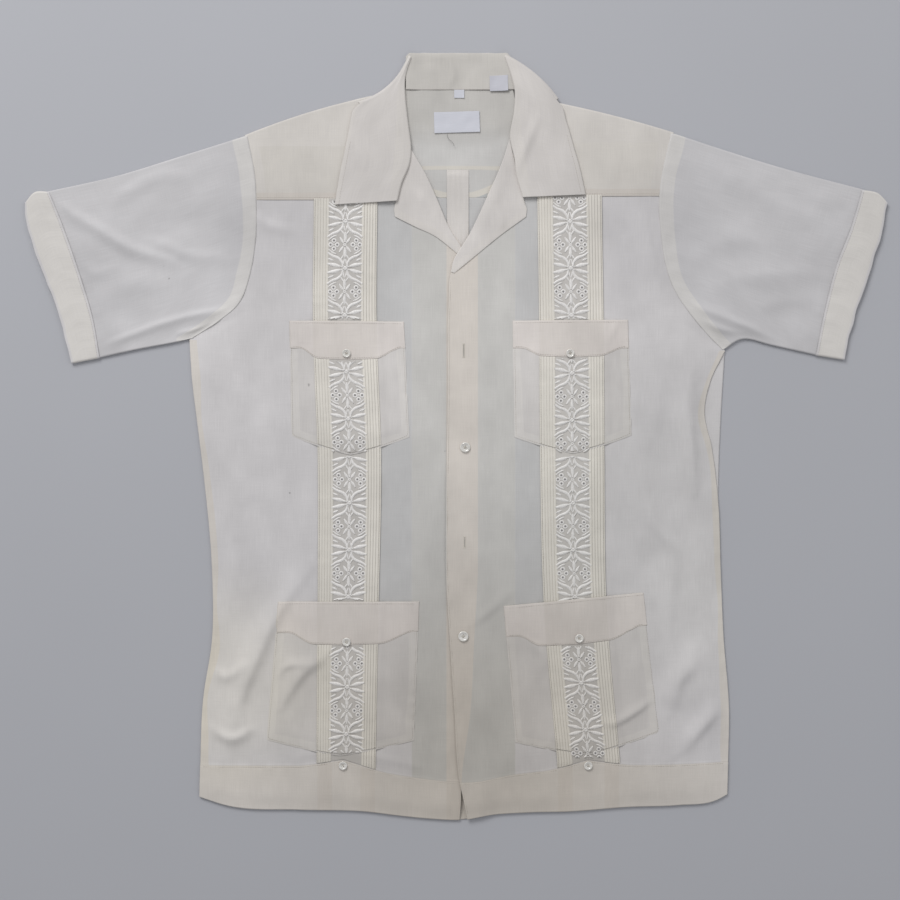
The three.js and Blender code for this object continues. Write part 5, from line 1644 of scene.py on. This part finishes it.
def make_buttonholes():
    """Two open buttonholes up the placket: each a slit between bars of satin stitch, with a dark
    strip of painted shade in the slit.
    """
    floss, slits = [], []
    for x, y, length in BUTTONHOLES:
        place = lambda points, widths, high: stroke_mesh(
            [(x + a, y + b) for a, b in points], widths, high, 5, 9)
        half = length / 2
        for off in (-0.85, 0.85):
            floss.append(place([(off, -half), (off, 0), (off, half)], (1.0, 1.15, 1.0), 0.4))
        for end in (-half, half):
            floss.append(place([(-1.5, end), (0, end), (1.5, end)], (1.0, 1.1, 1.0), 0.45))
        # A dark strip of painted shade in the open slit.
        slits.append(place([(0, -half + 0.8), (0, 0), (0, half - 0.8)], (0.4, 0.6, 0.4), 0.1))
    for name, parts, finish in (("bars", floss, "thread"), ("slits", slits, "eyelet")):
        plan, rise, faces = joined(parts)
        z = front_top("left", plan[:, 0], plan[:, 1]) + 0.03 + rise
        new_object(f"buttonhole_{name}", np.concatenate([plan, z[:, None]], 1), faces, finish,
                   grain=plan)


def make_label(name):
    """Blank woven label with slightly curled corners, sewn down at its ends."""
    shape = LABELS[name]
    wide, tall = shape["size"]
    u, v = np.meshgrid(spaced(wide, 1.5, 0.4), spaced(tall, 1.5, 0.4))
    a, b = (u - 0.5) * wide, (v - 0.5) * tall
    turn = shape["turn"]
    x = shape["centre"][0] + a * np.cos(turn) - b * np.sin(turn)
    y = shape["centre"][1] + a * np.sin(turn) + b * np.cos(turn)
    low = np.array(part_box(name)[0]) / MM
    ground = np.maximum(low[2] + 0.1, stand_top(x, y)) if name == "care_tab" else low[2]
    curl = np.abs(2 * u - 1) ** 6 * (1 - v) ** 3
    z = ground + 0.45 + 0.25 * rumple(x, y, 9, 131) + 0.6 * curl
    border = least(u * wide, (1 - u) * wide, v * tall, (1 - v) * tall)
    piece = cloth_piece(f"{name}_ribbon", np.stack([x, y, z], -1),
                        "tape" if name == "care_tab" else "ribbon", seam=border,
                        grain=np.stack([a, b], -1), wall=0.3)
    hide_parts(name)
    if name == "neck_label":
        thread = np.array([(-10, 332, 0.5), (-8.5, 327, 0.6), (-4, 323, 0.4), (-2, 319, 0.3)], float)
        thread = curve(thread, np.linspace(0, 1, 16)) + [0, 0, low[2] + 0.2]
        tubes("loose_thread", [thread], [0.4], "eyelet")


# ---- Stitching ----
def surface_path(x, y, top, lift=0.05, step=3.0):
    """A path of points laid on a surface."""
    lengths = measured(np.stack([x, y], -1))
    at = np.linspace(0, lengths[-1], max(2, round(lengths[-1] / step)))
    x, y = np.interp(at, lengths, x), np.interp(at, lengths, y)
    return np.stack([x, y, top(x, y) + lift], -1)


def make_stitching():
    """Sewing along the hems, placket, yokes, pockets and flaps."""
    body, pockets = [], []
    for side in SIDES:
        right = side == "right"
        top = lambda x, y: front_top(side, x, y) + np.where(y < hem_top(x), HEM_STEP, 0.0)
        xs = np.linspace(-278, 3, 200) if right else np.linspace(8, 295, 200)
        body.append(surface_path(xs, hem_top(xs) - 1.6, top))
        ys = np.linspace(-414, -385, 12) if right else np.linspace(-414, 172, 200)
        inner = through(FRONT_EDGE[side], ys) + (-1.8 if right else 1.8)
        body.append(surface_path(inner, ys, top))
        xs = np.linspace(*((-221, -134) if right else (143, 225)), 40)
        body.append(surface_path(xs, YOKE_SEAM[side] + 1.6 + 0 * xs, yoke_top))
    for name, shape in POCKETS.items():
        s = np.concatenate([np.zeros(30), np.linspace(0, 1, 60), np.ones(30)])
        v = np.concatenate([np.linspace(1, 0, 30), np.zeros(60), np.linspace(0, 1, 30)])
        x, y = pocket_plan(name, s, v)
        pockets.append(surface_path(x + 2.0 * (1 - 2 * s), y + 2.0 * (1 - v),
                                    lambda x, y: pocket_top(name, x, y)))
        on_flap = lambda x, y: flap_top(name, x, y)
        (x0, _), (x1, _) = shape["flap"]
        (_, y0), (_, y1) = shape["top"]
        xs = np.linspace(x0 + 3, x1 - 3, 60)
        pockets.append(surface_path(xs, flap_edge(name, xs) + 1.8, on_flap))
        pockets.append(surface_path(xs, np.linspace(y0, y1, 60) - 2.4, on_flap))
    stitches("body_stitching", body)
    stitches("pocket_stitching", pockets)


# ---- Stage ----
SHOT_CENTRE = (-6.6, -14.85)
SHOT_WIDTH = 990.0
SHOT_HEIGHT = 1600.0
SENSOR = 36.0
LIGHTS = {"key": ((-0.9, 1.9, 1.9), 1.5), "fill": ((1.5, 0.6, 1.9), 1.4)}  # place and width, metres
WORLD_STRENGTH = 0.44


def make_stage():
    """Pale floor, a large soft light high on the upper left, and the camera straight above."""
    size, z = 4000.0, -0.45
    corners = [(-size, -size, z), (size, -size, z), (size, size, z), (-size, size, z)]
    mesh = bpy.data.meshes.new("studio_floor")
    mesh.from_pydata((np.array(corners) * MM).tolist(), [], [(0, 1, 2, 3)])
    mesh.materials.append(PALETTE["floor"][0])
    floor = put_in("studio_floor", mesh)
    for name, (place, size) in LIGHTS.items():
        light = bpy.data.lights.new(name, "AREA")
        light.shape, light.size, light.energy = "DISK", size, getattr(settings(), f"{name}_power")
        lamp = put_in(name, light)
        lamp.location = place
        flat = math.hypot(place[0], place[1])
        lamp.rotation_euler = (math.atan2(flat, place[2]), 0.0, math.atan2(place[0], -place[1]))
    world = bpy.data.worlds.new("soft_room")
    world.use_nodes = True
    back = world.node_tree.nodes["Background"]
    back.inputs["Color"].default_value = linear(0xF4F5F8)
    back.inputs["Strength"].default_value = WORLD_STRENGTH
    scene = bpy.context.scene
    scene.world = world
    scene.view_settings.view_transform = "Standard"
    scene.view_settings.look = "None"
    camera = bpy.data.cameras.new("camera")
    camera.sensor_width = SENSOR
    camera.lens = SENSOR * SHOT_HEIGHT / SHOT_WIDTH
    camera.clip_start, camera.clip_end = 0.05, 20
    shot = put_in("camera", camera)
    shot.location = (SHOT_CENTRE[0] * MM, SHOT_CENTRE[1] * MM, SHOT_HEIGHT * MM)
    scene.camera = shot


# ---- Operators ----
def length(name, description, default, low, high):
    """A length property in metres."""
    return bpy.props.FloatProperty(name=name, description=description, default=default, min=low,
                                   max=high, unit="LENGTH", precision=4)


def power(name, description, default):
    """A light's power property in watts."""
    return bpy.props.FloatProperty(name=name, description=description, default=default, min=0.0,
                                   unit="POWER")


def colour(name, description, default):
    """A colour property from an sRGB hex value."""
    return bpy.props.FloatVectorProperty(name=name, description=description, default=linear(default),
                                         min=0.0, max=1.0, size=4, subtype="COLOR")


class ShirtSettings(bpy.types.PropertyGroup):
    """Sizes and colours that a user would change"""

    front_button: length("Front button", "Diameter of the front buttons", BUTTON_LARGE * MM, 0.008,
                         0.015)
    small_button: length("Small button", "Diameter of the pocket and hem buttons", BUTTON_SMALL * MM,
                         0.007, 0.012)
    tuck_height: length("Tuck height", "How far a tuck stands out of its band", 0.00075, 0.0, 0.0012)
    floss_height: length("Floss height", "How far the thickest satin stitch stands up", 0.001,
                         0.0002, 0.0015)
    stitch_length: length("Stitch spacing", "Distance from one stitch to the next", 0.0026, 0.0015,
                          0.006)
    creases: bpy.props.FloatProperty(
        name="Creases", description="Depth of the creases as a share of their usual depth",
        default=1.0, min=0.0, max=1.2, subtype="FACTOR")
    key_power: power("Key light", "Power of the large light at the upper left", 40.3)
    fill_power: power("Fill light", "Power of the soft light at the right", 4.0)
    cloth_colour: colour("Cloth", "Ivory of one front over the back", IVORY)
    floss_colour: colour("Floss", "Rayon embroidery floss", FLOSS)
    thread_colour: colour("Thread", "Sewing thread", THREAD_IVORY)
    button_colour: colour("Buttons", "Pearly resin of the buttons", RESIN)
    ribbon_colour: colour("Labels", "Blank satin of the labels", RIBBON)
    floor_colour: colour("Floor", "Paint of the studio floor", FLOOR_GREY)


class Piece:
    """Makes the materials before the first piece"""

    bl_options = {"REGISTER", "UNDO"}

    def execute(self, context):
        if not PALETTE:
            make_palette()
        self.build()
        return {"FINISHED"}


class GUAYABERA_OT_back(Piece, bpy.types.Operator):
    """Make the back, its tucked strip and the back yoke"""

    bl_idname = "guayabera.back"
    bl_label = "Back"

    def build(self):
        make_back()
        make_back_tucks()
        make_back_yoke()


class GUAYABERA_OT_fronts(Piece, bpy.types.Operator):
    """Make both fronts and their yokes"""

    bl_idname = "guayabera.fronts"
    bl_label = "Fronts"

    def build(self):
        for side in SIDES:
            make_front(side)
            make_yoke(side)


class GUAYABERA_OT_sleeves(Piece, bpy.types.Operator):
    """Make both sleeves and cuffs"""

    bl_idname = "guayabera.sleeves"
    bl_label = "Sleeves"

    def build(self):
        for side in SIDES:
            make_sleeve(side)
            make_cuff(side)


class GUAYABERA_OT_collar(Piece, bpy.types.Operator):
    """Make the collar, its inside and the lapels"""

    bl_idname = "guayabera.collar"
    bl_label = "Collar and lapels"

    def build(self):
        make_collar()
        make_stand()
        for side in SIDES:
            make_lapel(side)


class GUAYABERA_OT_bands(Piece, bpy.types.Operator):
    """Make the tucked bands and their embroidery"""

    bl_idname = "guayabera.bands"
    bl_label = "Bands"

    def build(self):
        for side in SIDES:
            make_band(side)
            make_embroidery(side)


class GUAYABERA_OT_pockets(Piece, bpy.types.Operator):
    """Make the four pockets with their flaps and tucks"""

    bl_idname = "guayabera.pockets"
    bl_label = "Pockets"

    def build(self):
        for name in POCKETS:
            make_pocket(name)
            make_flap(name)
            make_pocket_tucks(name)


class GUAYABERA_OT_buttons(Piece, bpy.types.Operator):
    """Make the buttons and buttonholes"""

    bl_idname = "guayabera.buttons"
    bl_label = "Buttons"

    def build(self):
        large, small = settings().front_button / MM, settings().small_button / MM
        for number, place in enumerate(FRONT_BUTTONS):
            cloth = lambda x, y: front_top("left", x, y)
            make_button(f"button_front_{place}", large, 0.2 + 0.5 * number, cloth)
        for number, side in enumerate(SIDES):
            cloth = lambda x, y: front_top(side, x, y) + HEM_STEP
            make_button(f"button_hem_{side}", small, 0.3 * number, cloth)
        for number, name in enumerate(POCKETS):
            cloth = lambda x, y: flap_top(name, x, y)
            make_button(f"button_{name}", small, 0.6 + 0.3 * number, cloth)
        make_buttonholes()


class GUAYABERA_OT_labels(Piece, bpy.types.Operator):
    """Make the blank labels"""

    bl_idname = "guayabera.labels"
    bl_label = "Labels"

    def build(self):
        for name in LABELS:
            make_label(name)


class GUAYABERA_OT_stitching(Piece, bpy.types.Operator):
    """Sew the seams and edges"""

    bl_idname = "guayabera.stitching"
    bl_label = "Stitching"

    def build(self):
        make_stitching()


class GUAYABERA_OT_stage(Piece, bpy.types.Operator):
    """Set the floor, lights and camera"""

    bl_idname = "guayabera.stage"
    bl_label = "Stage"

    def build(self):
        make_stage()


OPERATORS = (
    GUAYABERA_OT_stage, GUAYABERA_OT_back, GUAYABERA_OT_fronts, GUAYABERA_OT_sleeves,
    GUAYABERA_OT_collar, GUAYABERA_OT_bands, GUAYABERA_OT_pockets, GUAYABERA_OT_buttons,
    GUAYABERA_OT_labels, GUAYABERA_OT_stitching,
)


class GUAYABERA_PT_panel(bpy.types.Panel):
    """Lists the shirt's sizes and colours, and its pieces"""

    bl_label = "Guayabera Shirt"
    bl_space_type = "VIEW_3D"
    bl_region_type = "UI"
    bl_category = "Guayabera"

    def draw(self, context):
        for key in ShirtSettings.__annotations__:
            self.layout.prop(context.scene.guayabera, key)
        for operator in OPERATORS:
            self.layout.operator(operator.bl_idname)


CLASSES = (ShirtSettings, *OPERATORS, GUAYABERA_PT_panel)


def register():
    for cls in CLASSES:
        bpy.utils.register_class(cls)
    bpy.types.Scene.guayabera = bpy.props.PointerProperty(type=ShirtSettings)


def unregister():
    del bpy.types.Scene.guayabera
    for cls in reversed(CLASSES):
        bpy.utils.unregister_class(cls)


def main():
    """Makes every piece in turn."""
    register()
    for operator in OPERATORS:
        group, name = operator.bl_idname.split(".")
        getattr(getattr(bpy.ops, group), name)()


if __name__ == "__main__":
    main()
